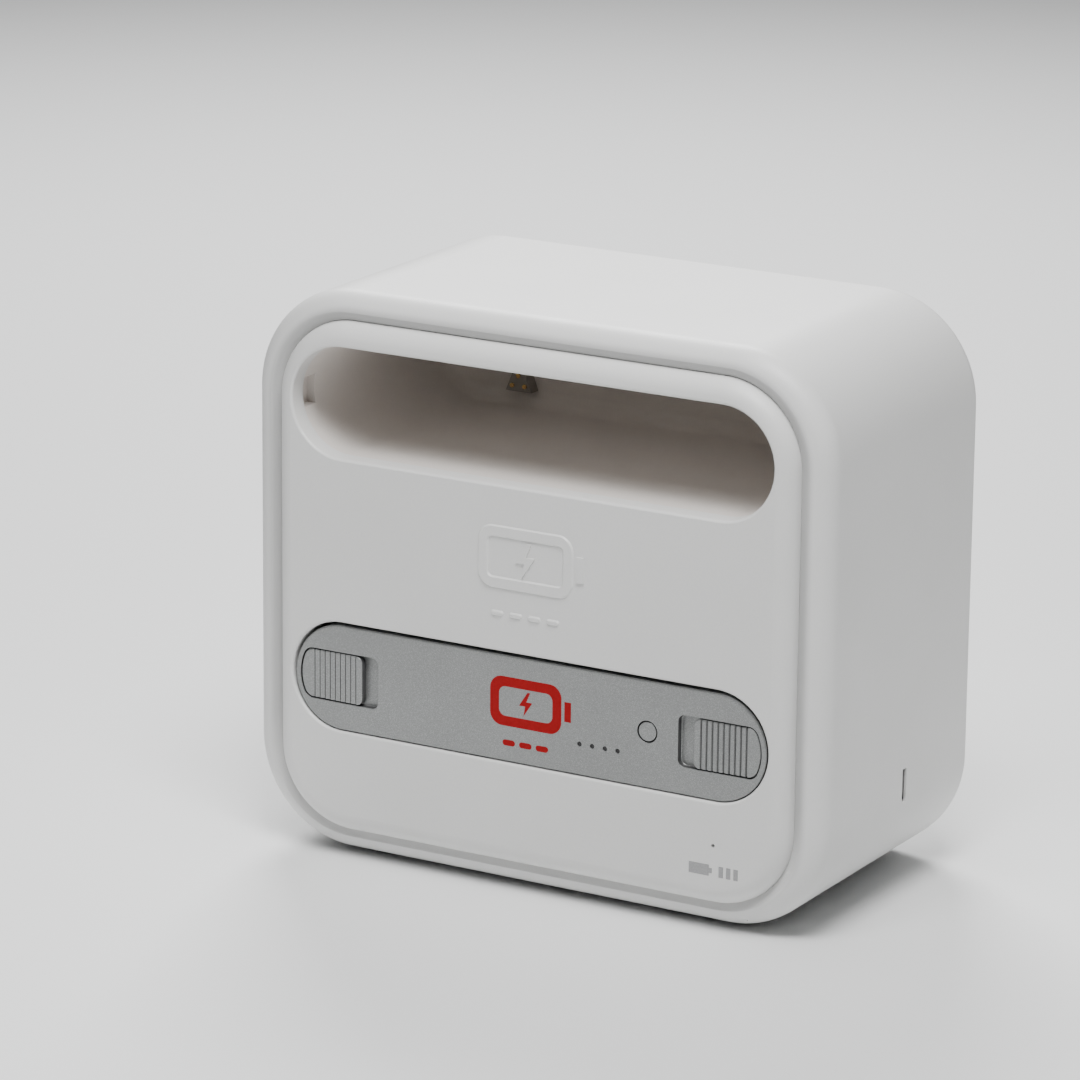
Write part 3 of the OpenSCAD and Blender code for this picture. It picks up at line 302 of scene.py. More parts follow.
@dataclass(frozen=True)
class Finish:
    """A finish, whose material is made on its first use and shared after that."""

    name: str

    def material(self) -> bpy.types.Material:
        """The one material of this finish, under a name that no record slot has."""
        label = f"finish_{self.name}"
        made = bpy.data.materials.get(label)
        if made is None:
            shader = Shader(label)
            self.paint(shader)
            made = shader.material
        return made

    def paint(self, shader: Shader) -> None:
        """Builds the finish's nodes in a graph."""
        raise NotImplementedError


@dataclass(frozen=True)
class TwoTone(Finish):
    """A finish whose colour and roughness drift a little with a texture."""

    colour: Rgb
    shade: Rgb
    roughness: float = 0.5
    drift: ClassVar[Span] = (0.04, 0.05)

    def tones(self, shader: Shader, texture: Socket) -> Socket:
        """The colour, drifting to the shade with a texture."""
        return shader.blend(shader.stretch_to(texture), self.colour, self.shade)

    def dullness(self, shader: Shader, texture: Socket) -> Socket:
        """The roughness, drifting down and up with a texture."""
        down, up = self.drift
        return shader.stretch_to(texture, self.roughness - down, self.roughness + up)


@dataclass(frozen=True)
class MouldedPlastic(TwoTone):
    """Moulded plastic: a fine eroded grain, a faint mottle and slow changes of gloss."""

    grain: float = 0.45 * MM
    grain_height: float = 0.004 * MM
    cloud: float = 30 * MM
    octaves: float = 3.0
    speck: Span = (0.985, 1.015)

    def paint(self, shader: Shader) -> None:
        """Builds the plastic's nodes on Object coordinates."""
        where = shader.coordinates()
        clouds = shader.noise(where, self.cloud, self.octaves)
        grain = shader.noise(where, self.grain, self.octaves)
        speck = shader.stretch_to(grain, *self.speck)
        tinted = shader.blend(1.0, self.tones(shader, clouds), speck, "MULTIPLY")
        shader.surface_values(
            Base_Color=self.shaded(shader, tinted), Roughness=self.dullness(shader, clouds)
        )
        shader.relief(grain, self.grain_height)

    def shaded(self, shader: Shader, colour: Socket) -> Socket:
        """The colour as it is; the casing's plastic paints shade into its groove here."""
        return colour


@dataclass(frozen=True)
class GrooveShadePlastic(MouldedPlastic):
    """Moulded plastic with painted shade in the groove round the panel: its colour is
    multiplied down there.
    """

    panel_width: float = 172.4 * MM
    panel_height: float = 156.15 * MM
    panel_corner: float = 24.6 * MM
    panel_middle: float = 86.575 * MM
    groove_floor: float = 2.0 * MM
    groove_rim: float = 5.0 * MM
    groove_shade_tone: float = 0.64
    low_fade: Span = (-78 * MM, -45 * MM)

    def shaded(self, shader: Shader, colour: Socket) -> Socket:
        """Paints shade into the colour in the groove near the panel's outline, and less along
        its lower edge.

        Args:
            shader: The material's graph.
            colour: The plastic's own colour.

        Returns:
            The colour with the groove's painted shade in it.
        """
        x, _, z = shader.axes((0.0, 0.0, self.panel_middle))
        squares = []
        for axis, size in ((x, self.panel_width), (z, self.panel_height)):
            straight = size / 2 - self.panel_corner
            past = shader.maths("SUBTRACT", shader.maths("ABSOLUTE", axis), straight)
            squares.append(shader.maths("POWER", shader.maths("MAXIMUM", past, 0.0), 2.0))
        away = shader.maths("SQRT", shader.maths("ADD", *squares))
        band = (self.panel_corner + self.groove_floor, self.panel_corner + self.groove_rim)
        # Painted shade: the colour is multiplied by the groove's tone up to the groove's floor,
        # and back to full at its rim.
        dark = shader.stretch_to(away, 1.0 - self.groove_shade_tone, 0.0, band)
        dark.node.interpolation_type = "SMOOTHSTEP"
        high = shader.stretch_to(z, source=self.low_fade)
        tone = shader.maths("SUBTRACT", 1.0, shader.maths("MULTIPLY", dark, high))
        return shader.blend(1.0, colour, tone, "MULTIPLY")


@dataclass(frozen=True)
class MetallicPaint(TwoTone):
    """Silver paint: flakes in the second tone, under a thin satin lacquer.

    Where a piece's face attribute is above 0, the colour goes to a dark one: black plastic on a
    plate's sides, and painted shade on the walls and floors of notches, recesses and holes.
    """

    roughness: float = 0.42
    # The dark colour: black plastic on a plate's sides, and painted shade in notches, recesses
    # and holes.
    moulding_and_shade_colour: Rgb = (0.012, 0.012, 0.013)
    metallic: float = 0.55
    flake: float = 0.14 * MM
    flake_lift: float = 0.0015 * MM
    lit_flakes: Span = (0.55, 1.0)
    cloud: float = 22 * MM
    peel: float = 0.9 * MM
    peel_depth: float = 0.002 * MM
    lacquer: float = 0.12
    lacquer_roughness: float = 0.35
    drift: ClassVar[Span] = (0.03, 0.04)

    def paint(self, shader: Shader) -> None:
        """Builds the paint's nodes: flakes tint the colour and the relief."""
        where = shader.coordinates()
        flakes = shader.cells(where, self.flake)
        sparkle = shader.node("SeparateColor")
        shader.feed(sparkle.inputs[0], flakes.outputs["Color"])
        bright = shader.stretch_to(sparkle.outputs[0], source=self.lit_flakes)
        # The face attribute darkens the paint: painted shade in notches, recesses and holes,
        # black plastic on a plate's sides.
        bare = shader.node("Attribute", attribute_name="bare").outputs["Fac"]
        paint = shader.blend(bright, self.colour, self.shade)
        shader.surface_values(
            Base_Color=shader.blend(bare, paint, self.moulding_and_shade_colour),
            Metallic=shader.stretch_to(bare, self.metallic, 0.0),
            Roughness=self.dullness(shader, shader.noise(where, self.cloud)),
            Coat_Weight=self.lacquer,
            Coat_Roughness=self.lacquer_roughness,
        )
        shader.relief(sparkle.outputs[1], self.flake_lift)
        shader.relief(shader.noise(where, self.peel), self.peel_depth)


@dataclass(frozen=True)
class PrintedInk(TwoTone):
    """Pad-printed ink: an even colour with a slightly open, leathery film."""

    roughness: float = 0.48
    specular: float = 0.2
    film: float = 0.6 * MM
    film_depth: float = 0.003 * MM
    octaves: float = 3.0
    drift: ClassVar[Span] = (0.06, 0.06)

    def paint(self, shader: Shader) -> None:
        """Builds the ink's nodes."""
        film = shader.noise(shader.coordinates(), self.film, self.octaves)
        shader.surface_values(
            Base_Color=self.tones(shader, film),
            Roughness=self.dullness(shader, film),
            Specular_IOR_Level=self.specular,
        )
        shader.relief(film, self.film_depth)


@dataclass(frozen=True)
class PlatedMetal(TwoTone):
    """Plated or uncoated metal, drawn along one axis, with fine scratches and dull patches."""

    roughness: float = 0.3
    stretch: Xyz = (1.0, 0.12, 1.0)
    scratch: float = 0.25 * MM
    scratch_depth: float = 0.004 * MM
    octaves: float = 4.0
    patch: float = 4 * MM
    drift: ClassVar[Span] = (0.08, 0.12)

    def paint(self, shader: Shader) -> None:
        """Builds the metal's nodes."""
        drawn = shader.coordinates(stretch=self.stretch)
        scratches = shader.noise(drawn, self.scratch, self.octaves)
        patches = shader.noise(shader.coordinates(), self.patch)
        shader.surface_values(
            Base_Color=self.tones(shader, patches),
            Metallic=1.0,
            Roughness=self.dullness(shader, scratches),
        )
        shader.relief(scratches, self.scratch_depth)


@dataclass(frozen=True)
class CircuitMask(Finish):
    """Solder mask over copper: straight tracks show through as a lighter, raised green."""

    colour: Rgb
    track: Rgb
    weave_colour: Rgb = (0.02, 0.16, 0.09)
    pitch: float = 3.2 * MM
    patch: int = 3
    patch_edge: Span = (0.0, 0.5)
    track_height: float = 0.03 * MM
    track_edge: Span = (0.40, 0.44)
    disorder: float = 0.35
    weave: float = 0.5 * MM
    weave_share: float = 0.25
    roughness: Span = (0.26, 0.4)
    lacquer: float = 0.25
    lacquer_roughness: float = 0.15

    def paint(self, shader: Shader) -> None:
        """Builds the mask's nodes: square cells whose borders are the tracks."""
        where = shader.coordinates()
        borders = shader.cells(where, self.pitch * self.patch, feature="DISTANCE_TO_EDGE")
        squares = shader.cells(where, self.pitch, distance="CHEBYCHEV")
        for texture in (borders, squares):
            texture.inputs["Randomness"].default_value = self.disorder
        tracks = shader.stretch_to(squares.outputs["Distance"], source=self.track_edge)
        weave = shader.stretch_to(shader.noise(where, self.weave), 0.0, self.weave_share)
        mask = shader.blend(tracks, self.colour, self.track)
        shader.surface_values(
            Base_Color=shader.blend(weave, mask, self.weave_colour),
            Roughness=shader.stretch_to(
                borders.outputs["Distance"], *self.roughness, self.patch_edge
            ),
            Coat_Weight=self.lacquer,
            Coat_Roughness=self.lacquer_roughness,
        )
        shader.relief(tracks, self.track_height)


@dataclass(frozen=True, kw_only=True)
class SleevedFilm(TwoTone):
    """Shrunk film round cells that lie along y, with faint rings and a pale stripe each."""

    roughness: float = 0.3
    stripe: Rgb
    stripe_at: float
    stripe_pitch: float
    stripe_edge: Span = (0.9 * MM, 1.1 * MM)
    rings: Xyz = (0.6, 6.0, 0.6)
    ring: float = 9 * MM
    ring_height: float = 0.05 * MM
    octaves: float = 3.0
    gloss: float = 0.3
    gloss_roughness: float = 0.12
    drift: ClassVar[Span] = (0.06, 0.08)

    def paint(self, shader: Shader) -> None:
        """Builds the film's nodes: rings across the axis and a stripe along it."""
        x, _, _ = shader.axes()
        folds = shader.noise(shader.coordinates(stretch=self.rings), self.ring, self.octaves)
        across = shader.maths("SUBTRACT", x, self.stripe_at)
        repeat = shader.maths("PINGPONG", across, self.stripe_pitch / 2)
        stripe = shader.stretch_to(repeat, 1.0, 0.0, self.stripe_edge)
        shader.surface_values(
            Base_Color=shader.blend(stripe, self.tones(shader, folds), self.stripe),
            Roughness=self.dullness(shader, folds),
            Coat_Weight=self.gloss,
            Coat_Roughness=self.gloss_roughness,
        )
        shader.relief(folds, self.ring_height)


@dataclass(frozen=True)
class Winding(Finish):
    """Enamelled wire wound round a ring: dark lines between the turns, across the ring."""

    colour: Rgb
    gap: Rgb
    turns: int
    centre: Xyz
    wire: Span = (-1.0, 0.4)
    wire_height: float = 0.25 * MM
    metallic: float = 0.7
    roughness: Span = (0.5, 0.28)
    enamel: float = 0.4
    enamel_roughness: float = 0.2

    def paint(self, shader: Shader) -> None:
        """Builds the winding's nodes from the angle round the ring's own axis, along y."""
        x, _, z = shader.axes(self.centre)
        angle = shader.maths("ARCTAN2", z, x)
        wave = shader.maths("SINE", shader.maths("MULTIPLY", angle, float(self.turns)))
        turns = shader.stretch_to(wave, source=self.wire)
        shader.surface_values(
            Base_Color=shader.blend(turns, self.gap, self.colour),
            Metallic=self.metallic,
            Roughness=shader.stretch_to(turns, *self.roughness, (0.0, 1.0)),
            Coat_Weight=self.enamel,
            Coat_Roughness=self.enamel_roughness,
        )
        shader.relief(turns, self.wire_height)


@dataclass(frozen=True, kw_only=True)
class ClearPlastic(TwoTone):
    """Clear or smoked plastic with a faint haze and a ripple from the mould."""

    transmission: float
    haze: float = 0.8 * MM
    ripple: float = 0.01 * MM
    ior: float = 1.49
    drift: ClassVar[Span] = (0.06, 0.1)

    def paint(self, shader: Shader) -> None:
        """Builds the plastic's nodes."""
        haze = shader.noise(shader.coordinates(), self.haze)
        shader.surface_values(
            Base_Color=self.tones(shader, haze),
            Roughness=self.dullness(shader, haze),
            Transmission_Weight=self.transmission,
            IOR=self.ior,
        )
        shader.relief(haze, self.ripple)


@dataclass(frozen=True)
class StudioPaper(TwoTone):
    """A pale paper sweep, slightly uneven in tone."""

    roughness: float = 0.67
    cloud: float = 0.9
    fibre: float = 1.2 * MM
    fibre_height: float = 0.004 * MM
    octaves: float = 1.0
    drift: ClassVar[Span] = (0.05, 0.05)

    def paint(self, shader: Shader) -> None:
        """Builds the paper's nodes."""
        where = shader.coordinates()
        fibre = shader.noise(where, self.fibre)
        shader.surface_values(
            Base_Color=self.tones(shader, shader.noise(where, self.cloud, self.octaves)),
            Roughness=self.dullness(shader, fibre),
        )
        shader.relief(fibre, self.fibre_height)


SHELL_WHITE = MouldedPlastic("shell_white", (0.78, 0.78, 0.772), (0.765, 0.765, 0.757), 0.46)
# The casing's white, with painted shade in the groove round the panel.
CASING_WHITE_GROOVE_SHADE = GrooveShadePlastic("casing_white_groove_shade", (0.78, 0.78, 0.772), (0.765, 0.765, 0.757), 0.46)
PANEL_WHITE = MouldedPlastic("panel_white", (0.78, 0.78, 0.77), (0.765, 0.765, 0.755), 0.44)
TRAY_WHITE = MouldedPlastic(
    "tray_white", (0.79, 0.745, 0.705), (0.76, 0.715, 0.675), 0.55, 0.6 * MM, 0.006 * MM
)
PACK_SILVER = MetallicPaint("pack_silver", (0.25, 0.256, 0.254), (0.39, 0.398, 0.396))
LATCH_SILVER = MetallicPaint(
    "latch_silver", (0.25, 0.256, 0.254), (0.39, 0.398, 0.396), roughness=0.4
)
RED_INK = PrintedInk("red_ink", (0.36, 0.0, 0.004), (0.31, 0.0, 0.003), 0.6)
GREY_INK = PrintedInk("grey_ink", (0.34, 0.34, 0.345), (0.40, 0.40, 0.405))
BLACK_SHELL = MouldedPlastic("pack_black", (0.012, 0.012, 0.013), (0.018, 0.018, 0.019), 0.42)
BLACK_PLASTIC = MouldedPlastic(
    "black_plastic", (0.016, 0.016, 0.017), (0.024, 0.024, 0.025), 0.36, 0.25 * MM
)
HEADER_GREY = MouldedPlastic(
    "header_grey", (0.36, 0.33, 0.30), (0.40, 0.37, 0.33), 0.5, 0.3 * MM
)
DARK_NYLON = MouldedPlastic(
    "dark_nylon", (0.028, 0.028, 0.031), (0.042, 0.042, 0.045), 0.48, 0.5 * MM
)
WHITE_NYLON = MouldedPlastic(
    "white_nylon", (0.66, 0.64, 0.58), (0.60, 0.58, 0.52), 0.42, 0.5 * MM
)
FOOT_RUBBER = MouldedPlastic(
    "foot_rubber", (0.030, 0.030, 0.031), (0.048, 0.047, 0.046), 0.78, 0.35 * MM, 0.02 * MM
)
LEAD_BLACK = MouldedPlastic(
    "lead_black", (0.014, 0.014, 0.015), (0.026, 0.026, 0.027), 0.35, 0.8 * MM
)
LEAD_RED = MouldedPlastic(
    "lead_red", (0.42, 0.015, 0.012), (0.34, 0.012, 0.010), 0.35, 0.8 * MM
)
STEEL = PlatedMetal("zinc_steel", (0.62, 0.63, 0.64), (0.50, 0.51, 0.53))
NICKEL = PlatedMetal("nickel_strip", (0.66, 0.64, 0.60), (0.56, 0.54, 0.50), 0.34)
GOLD_CONTACT = PlatedMetal("gold_contact", (0.86, 0.62, 0.26), (0.72, 0.48, 0.18), 0.22)
HEAT_SINK = PlatedMetal(
    "heat_sink_metal", (0.58, 0.59, 0.60), (0.48, 0.49, 0.50), 0.4, (1.0, 1.0, 0.06)
)
CIRCUIT_BOARD = CircuitMask("circuit_board", (0.012, 0.12, 0.065), (0.03, 0.22, 0.11))
CLEAR_LED = ClearPlastic(
    "clear_led", (0.86, 0.88, 0.84), (0.688, 0.704, 0.672), 0.18, transmission=0.85
)
SMOKED_GUIDE = ClearPlastic(
    "smoked_guide", (0.008, 0.008, 0.009), (0.0064, 0.0064, 0.0072), 0.14, transmission=0.1
)


# Drawing


class Drawing:
    """A mesh drawn in millimetres: x to the right, y up, and z towards whoever looks at it."""

    def __init__(self) -> None:
        """Starts an empty drawing, with no face darkened yet."""
        self.bm = bmesh.new()
        # A face attribute that darkens faces: painted shade in notches, recesses and holes,
        # black plastic on a plate's sides.
        self.bare = self.bm.faces.layers.float.new("bare")

    def disc(
        self, radius: float, segments: int, centre: Span = (0.0, 0.0), level: float = 0.0
    ) -> BMFace:
        """Draws a round face.

        Args:
            radius: The disc's radius.
            segments: How many sides it has.
            centre: Where its middle is.
            level: The height it lies at.

        Returns:
            The face, which looks at the viewer.
        """
        half_step = Matrix.Rotation(math.pi / segments, 4, "Z")
        made = bmesh.ops.create_circle(
            self.bm,
            cap_ends=True,
            radius=radius,
            segments=segments,
            matrix=Matrix.Translation((*centre, level)) @ half_step,
        )
        return made["verts"][0].link_faces[0]

    def stadium(
        self, end_x: float, radius: float, level: float, segments: int = 144
    ) -> BMFace:
        """Draws a long face with half-round ends, by pulling the halves of a disc apart.

        Args:
            end_x: Distance from the middle to the centre of an end.
            radius: Radius of an end.
            level: The height it lies at.
            segments: How many sides the two ends have together.

        Returns:
            The face.
        """
        face = self.disc(radius, segments, level=level)
        for sign in (-1, 1):
            half = [v for v in face.verts if v.co.x * sign > 0]
            bmesh.ops.translate(self.bm, verts=half, vec=(sign * end_x, 0, 0))
        return face

    def box(self, low: Vector, high: Vector) -> None:
        """Draws a block between two corners.

        Args:
            low: Its lowest corner.
            high: Its highest corner.
        """
        size = Matrix.Diagonal((*(high - low), 1.0))
        middle = Matrix.Translation((low + high) / 2)
        bmesh.ops.create_cube(self.bm, size=1.0, matrix=middle @ size)

    def outline(
        self, corners: list[Vector], radii: list[float], segments: int = 7
    ) -> BMFace:
        """Draws a flat face from a few corners and rounds them off.

        Args:
            corners: The corners, anticlockwise.
            radii: How far back from each corner its round starts; 0 keeps it.
            segments: Sides of each round.

        Returns:
            The face.
        """
        drawn = set(self.bm.faces)
        verts = [self.bm.verts.new(corner) for corner in corners]
        self.bm.faces.new(verts)
        for radius in sorted(set(radii) - {0.0}):
            bmesh.ops.bevel(
                self.bm,
                geom=[v for v, r in zip(verts, radii) if r == radius and v.is_valid],
                offset=radius,
                offset_type="OFFSET",
                segments=segments,
                profile=0.5,
                affect="VERTICES",
                material=-1,
            )
        return next(face for face in self.bm.faces if face not in drawn)

    def step(self, face: BMFace, inset: float, rise: float) -> None:
        """Narrows a face and moves it along its normal, leaving a ring of faces round it."""
        bmesh.ops.inset_individual(
            self.bm,
            faces=[face],
            thickness=max(inset, HAIR),
            depth=rise,
            use_even_offset=True,
        )

    def ease(self, face: BMFace, kind: Round, radius: float, steps: int = 5) -> None:
        """Carries a face over a quarter round, ring by ring.

        Args:
            face: The face inside the round.
            kind: Which way the round turns.
            radius: Its radius.
            steps: Rings of faces that make it.
        """
        before = 0.0
        for index in range(1, steps + 1):
            angle = RIGHT_ANGLE * index / steps
            slow = radius * (math.cos(before) - math.cos(angle))
            fast = radius * (math.sin(angle) - math.sin(before))
            if kind is Round.HOLE_EDGE:
                self.step(face, fast, -slow)
            else:
                self.step(face, slow, fast if kind is Round.BOSS_EDGE else -fast)
            before = angle

    def border(self, drawn_before: set[BMEdge]) -> list[BMEdge]:
        """The open edges of what was drawn after a set of edges was taken."""
        return [e for e in self.bm.edges if e.is_boundary and e not in drawn_before]

    def pierce(self, face: BMFace, holes: list[list[BMEdge]]) -> None:
        """Fills the space between a face's border and the borders of the holes in it.

        Args:
            face: The face that is pierced, which goes.
            holes: The edges round each hole.
        """
        edges = list(face.edges)
        normal = face.normal.copy()
        bmesh.ops.delete(self.bm, geom=[face], context="FACES_ONLY")
        bmesh.ops.triangle_fill(
            self.bm,
            use_beauty=True,
            edges=edges + [edge for hole in holes for edge in hole],
            normal=normal,
        )

    def skirt(self, edges: list[BMEdge], level: float) -> list[BMEdge]:
        """Draws walls from open edges to a level.

        Args:
            edges: The edges at the top of the walls.
            level: The height at which the walls end.

        Returns:
            The edges at the foot of the walls.
        """
        made = bmesh.ops.extrude_edge_only(self.bm, edges=edges)["geom"]
        for vert in (part for part in made if isinstance(part, BMVert)):
            vert.co.z = level
        return [part for part in made if isinstance(part, BMEdge)]

    def cut(self, x: float) -> list[BMVert]:
        """Cuts all that is drawn across at x.

        Args:
            x: Where the cut is.

        Returns:
            The vertices along the cut.
        """
        every = [*self.bm.verts, *self.bm.edges, *self.bm.faces]
        made = bmesh.ops.bisect_plane(
            self.bm, geom=every, dist=HAIR, plane_co=(x, 0, 0), plane_no=(1, 0, 0)
        )
        return [part for part in made["geom_cut"] if isinstance(part, BMVert)]

    def shift(self, parts: list[BMVert | BMEdge | BMFace], by: Vector) -> None:
        """Moves the vertices among some parts of the drawing."""
        verts = [part for part in parts if isinstance(part, BMVert)]
        bmesh.ops.translate(self.bm, verts=verts, vec=by)

    def lathe(self, profile: list[Vector], segments: int = 64) -> None:
        """Turns a profile once round the z axis.

        Args:
            profile: Points of the profile in the xz plane, from the axis outwards.
            segments: Steps of the turn.
        """
        verts = [self.bm.verts.new(point) for point in profile]
        edges = [self.bm.edges.new(pair) for pair in zip(verts, verts[1:])]
        bmesh.ops.spin(
            self.bm,
            geom=[*verts, *edges],
            axis=(0, 0, 1),
            cent=(0, 0, 0),
            angle=math.tau,
            steps=segments,
            use_merge=True,
            use_duplicate=False,
        )

    def mark_moulding_and_shade(
        self, amount: float, wall_top: float, floor_top: float, steep: float = 0.5
    ) -> None:
        """Marks the walls and floors to be darkened: painted shade in notches, recesses and
        holes, and black plastic on a plate's sides.

        Args:
            amount: How far such a face goes to the dark colour, from 0 to 1.
            wall_top: Steep faces are marked under this level.
            floor_top: Every face is marked under this level.
            steep: A face whose normal rises by less than this is steep.
        """
        self.bm.normal_update()
        for face in self.bm.faces:
            level = face.calc_center_median().z
            if level < floor_top or (level < wall_top and abs(face.normal.z) < steep):
                face[self.bare] = amount

    def finish(self, name: str, place: Matrix, sharp: float = 35.0) -> bpy.types.Object:
        """Stands the drawing up in the frame as an object.

        Args:
            name: The object's name.
            place: From the drawing, in millimetres, to the frame, in millimetres.
            sharp: Edges that turn by more degrees than this are shaded sharp.

        Returns:
            The object, at the origin, with its place in its mesh.
        """
        bmesh.ops.remove_doubles(self.bm, verts=self.bm.verts, dist=WELD)
        to_metres = Matrix.Diagonal((MM, MM, MM, 1.0))
        bmesh.ops.transform(self.bm, matrix=to_metres @ place, verts=self.bm.verts)
        bmesh.ops.recalc_face_normals(self.bm, faces=self.bm.faces)
        mesh = bpy.data.meshes.new(name)
        self.bm.to_mesh(mesh)
        self.bm.free()
        mesh.shade_smooth()
        mesh.set_sharp_from_angle(angle=math.radians(sharp))
        made = bpy.data.objects.new(name, mesh)
        bpy.context.scene.collection.objects.link(made)
        made.modifiers.new("flat_faces", "WEIGHTED_NORMAL").keep_sharp = True
        return made


def facing_front(x: float, depth: float, z: float) -> Matrix:
    """Stands a drawing upright, facing the front, with its origin there in millimetres."""
    return Matrix.Translation((x, depth, z)) @ Matrix.Rotation(RIGHT_ANGLE, 4, "X")


def box_mm(node: str) -> tuple[Vector, Vector]:
    """The lowest and highest corner of a CAD node, in millimetres."""
    low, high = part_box(node)
    return low / MM, high / MM


def turned_edge(radius: float, edge_round: float, level: float, away: float) -> list[Vector]:
    """The rounded edge of a turned piece, from its flat end out to its side.

    Args:
        radius: Radius of the piece.
        edge_round: Radius of the rounded edge.
        level: Height of the flat end.
        away: 1.0 if the piece rises from that end, and -1.0 if it goes down from it.

    Returns:
        Points of the profile, in the xz plane.
    """
    rings = 5
    angles = [RIGHT_ANGLE * ring / rings for ring in range(rings + 1)]
    return [
        Vector((
            radius - edge_round * (1 - math.sin(angle)),
            0,
            level + away * edge_round * (1 - math.cos(angle)),
        ))
        for angle in angles
    ]


# Studio


@dataclass(frozen=True)
class SoftBox:
    """A square area light that looks at a point near the cabinet."""

    name: str
    place: Xyz
    size: float
    power: float
    aim: Xyz = (0.0, 0.0, 0.08)

    def hang(self) -> None:
        """Adds the light to the scene."""
        lamp = bpy.data.lights.new(self.name, "AREA")
        lamp.shape = "SQUARE"
        lamp.size = self.size
        lamp.energy = self.power
        made = bpy.data.objects.new(self.name, lamp)
        bpy.context.scene.collection.objects.link(made)
        made.location = self.place
        direction = Vector(self.aim) - Vector(self.place)
        made.rotation_euler = direction.to_track_quat("-Z", "Y").to_euler()


@dataclass
class Studio:
    """The camera at the photograph's angle, the pale floor and the soft light."""

    camera_place: Xyz = (0.75944, -1.34681, 0.53170)
    camera_turn: Xyz = (74.28493, -0.5102, 30.33555)
    lens: float = 180.766
    sensor: float = 36.0
    clip: Span = (0.1, 40.0)
    floor_size: float = 14.0
    air: Rgb = (0.86, 0.88, 0.90)
    air_strength: float = 0.02
    paper: StudioPaper = StudioPaper("studio_paper", (0.90, 0.905, 0.905), (0.885, 0.89, 0.89))
    boxes: tuple[SoftBox, ...] = (
        SoftBox("behind", (-0.60, 0.90, 1.00), 0.6, 21.5),
        SoftBox("front_right", (0.30, -0.35, 1.00), 0.35, 9.2),
        SoftBox("front", (0.05, -0.55, 1.00), 0.35, 4.0),
        SoftBox("above", (0.05, -0.05, 1.00), 0.35, 2.6),
    )

    def set_camera(self) -> None:
        """Makes the camera and gives it to the scene."""
        lens = bpy.data.cameras.new("photo_camera")
        lens.lens = self.lens
        lens.sensor_width = self.sensor
        lens.clip_start, lens.clip_end = self.clip
        camera = bpy.data.objects.new("photo_camera", lens)
        bpy.context.scene.collection.objects.link(camera)
        camera.location = self.camera_place
        camera.rotation_euler = Euler(map(math.radians, self.camera_turn))
        bpy.context.scene.camera = camera

    def lay_floor(self) -> None:
        """Lays the paper floor that the cabinet stands on."""
        drawing = Drawing()
        half = self.floor_size / 2 / MM
        bmesh.ops.create_grid(drawing.bm, x_segments=1, y_segments=1, size=half)
        floor = drawing.finish("floor", Matrix.Identity(4))
        floor.data.materials.append(self.paper.material())
        floor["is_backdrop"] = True

    def light(self) -> None:
        """Hangs the soft boxes and sets the pale air round the scene."""
        for box in self.boxes:
            box.hang()
        world = bpy.data.worlds.new("studio_air")
        world.use_nodes = True
        air = world.node_tree.nodes["Background"]
        air.inputs["Color"].default_value = (*self.air, 1.0)
        air.inputs["Strength"].default_value = self.air_strength
        bpy.context.scene.world = world

    def build(self) -> None:
        """Makes the whole studio."""
        self.set_camera()
        self.lay_floor()
        self.light()
        log.info("studio: camera, floor and %d lights", len(self.boxes))


# Sub-assemblies


@dataclass
class SubAssembly:
    """Pieces that belong together: CAD nodes to dress, and finer pieces that replace some."""

    nodes: dict[str, bpy.types.Object]
    coats: ClassVar[dict[str, Finish]] = {}

    def finishes(self) -> dict[str, Finish]:
        """The finish of each CAD node of this sub-assembly that stays."""
        return self.coats

    def dress(self) -> None:
        """Gives the CAD nodes that stay their finishes."""
        for name, finish in self.finishes().items():
            slots = self.nodes[name].data.materials
            slots.clear()
            slots.append(finish.material())
            log.info("%s: dressed in %s", name, finish.name)

    def add(
        self,
        piece: bpy.types.Object,
        finish: Finish,
        body: Body,
        slot: Slot,
        *replaced: str,
    ) -> None:
        """Puts a new piece on its body in place of CAD nodes.

        Args:
            piece: The new object.
            finish: What it is made of.
            body: The body it rides on.
            slot: The record's slot for its finish; not used.
            *replaced: The CAD nodes that it stands for.
        """
        piece.data.materials.append(finish.material())
        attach(piece, body.value)
        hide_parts(*replaced)
        log.info("%s: %d faces, for %s", piece.name, len(piece.data.polygons), replaced)

    def model(self) -> None:
        """Builds the finer pieces; most sub-assemblies have none."""

    def build(self) -> None:
        """Dresses what stays and models what is replaced."""
        self.dress()
        self.model()


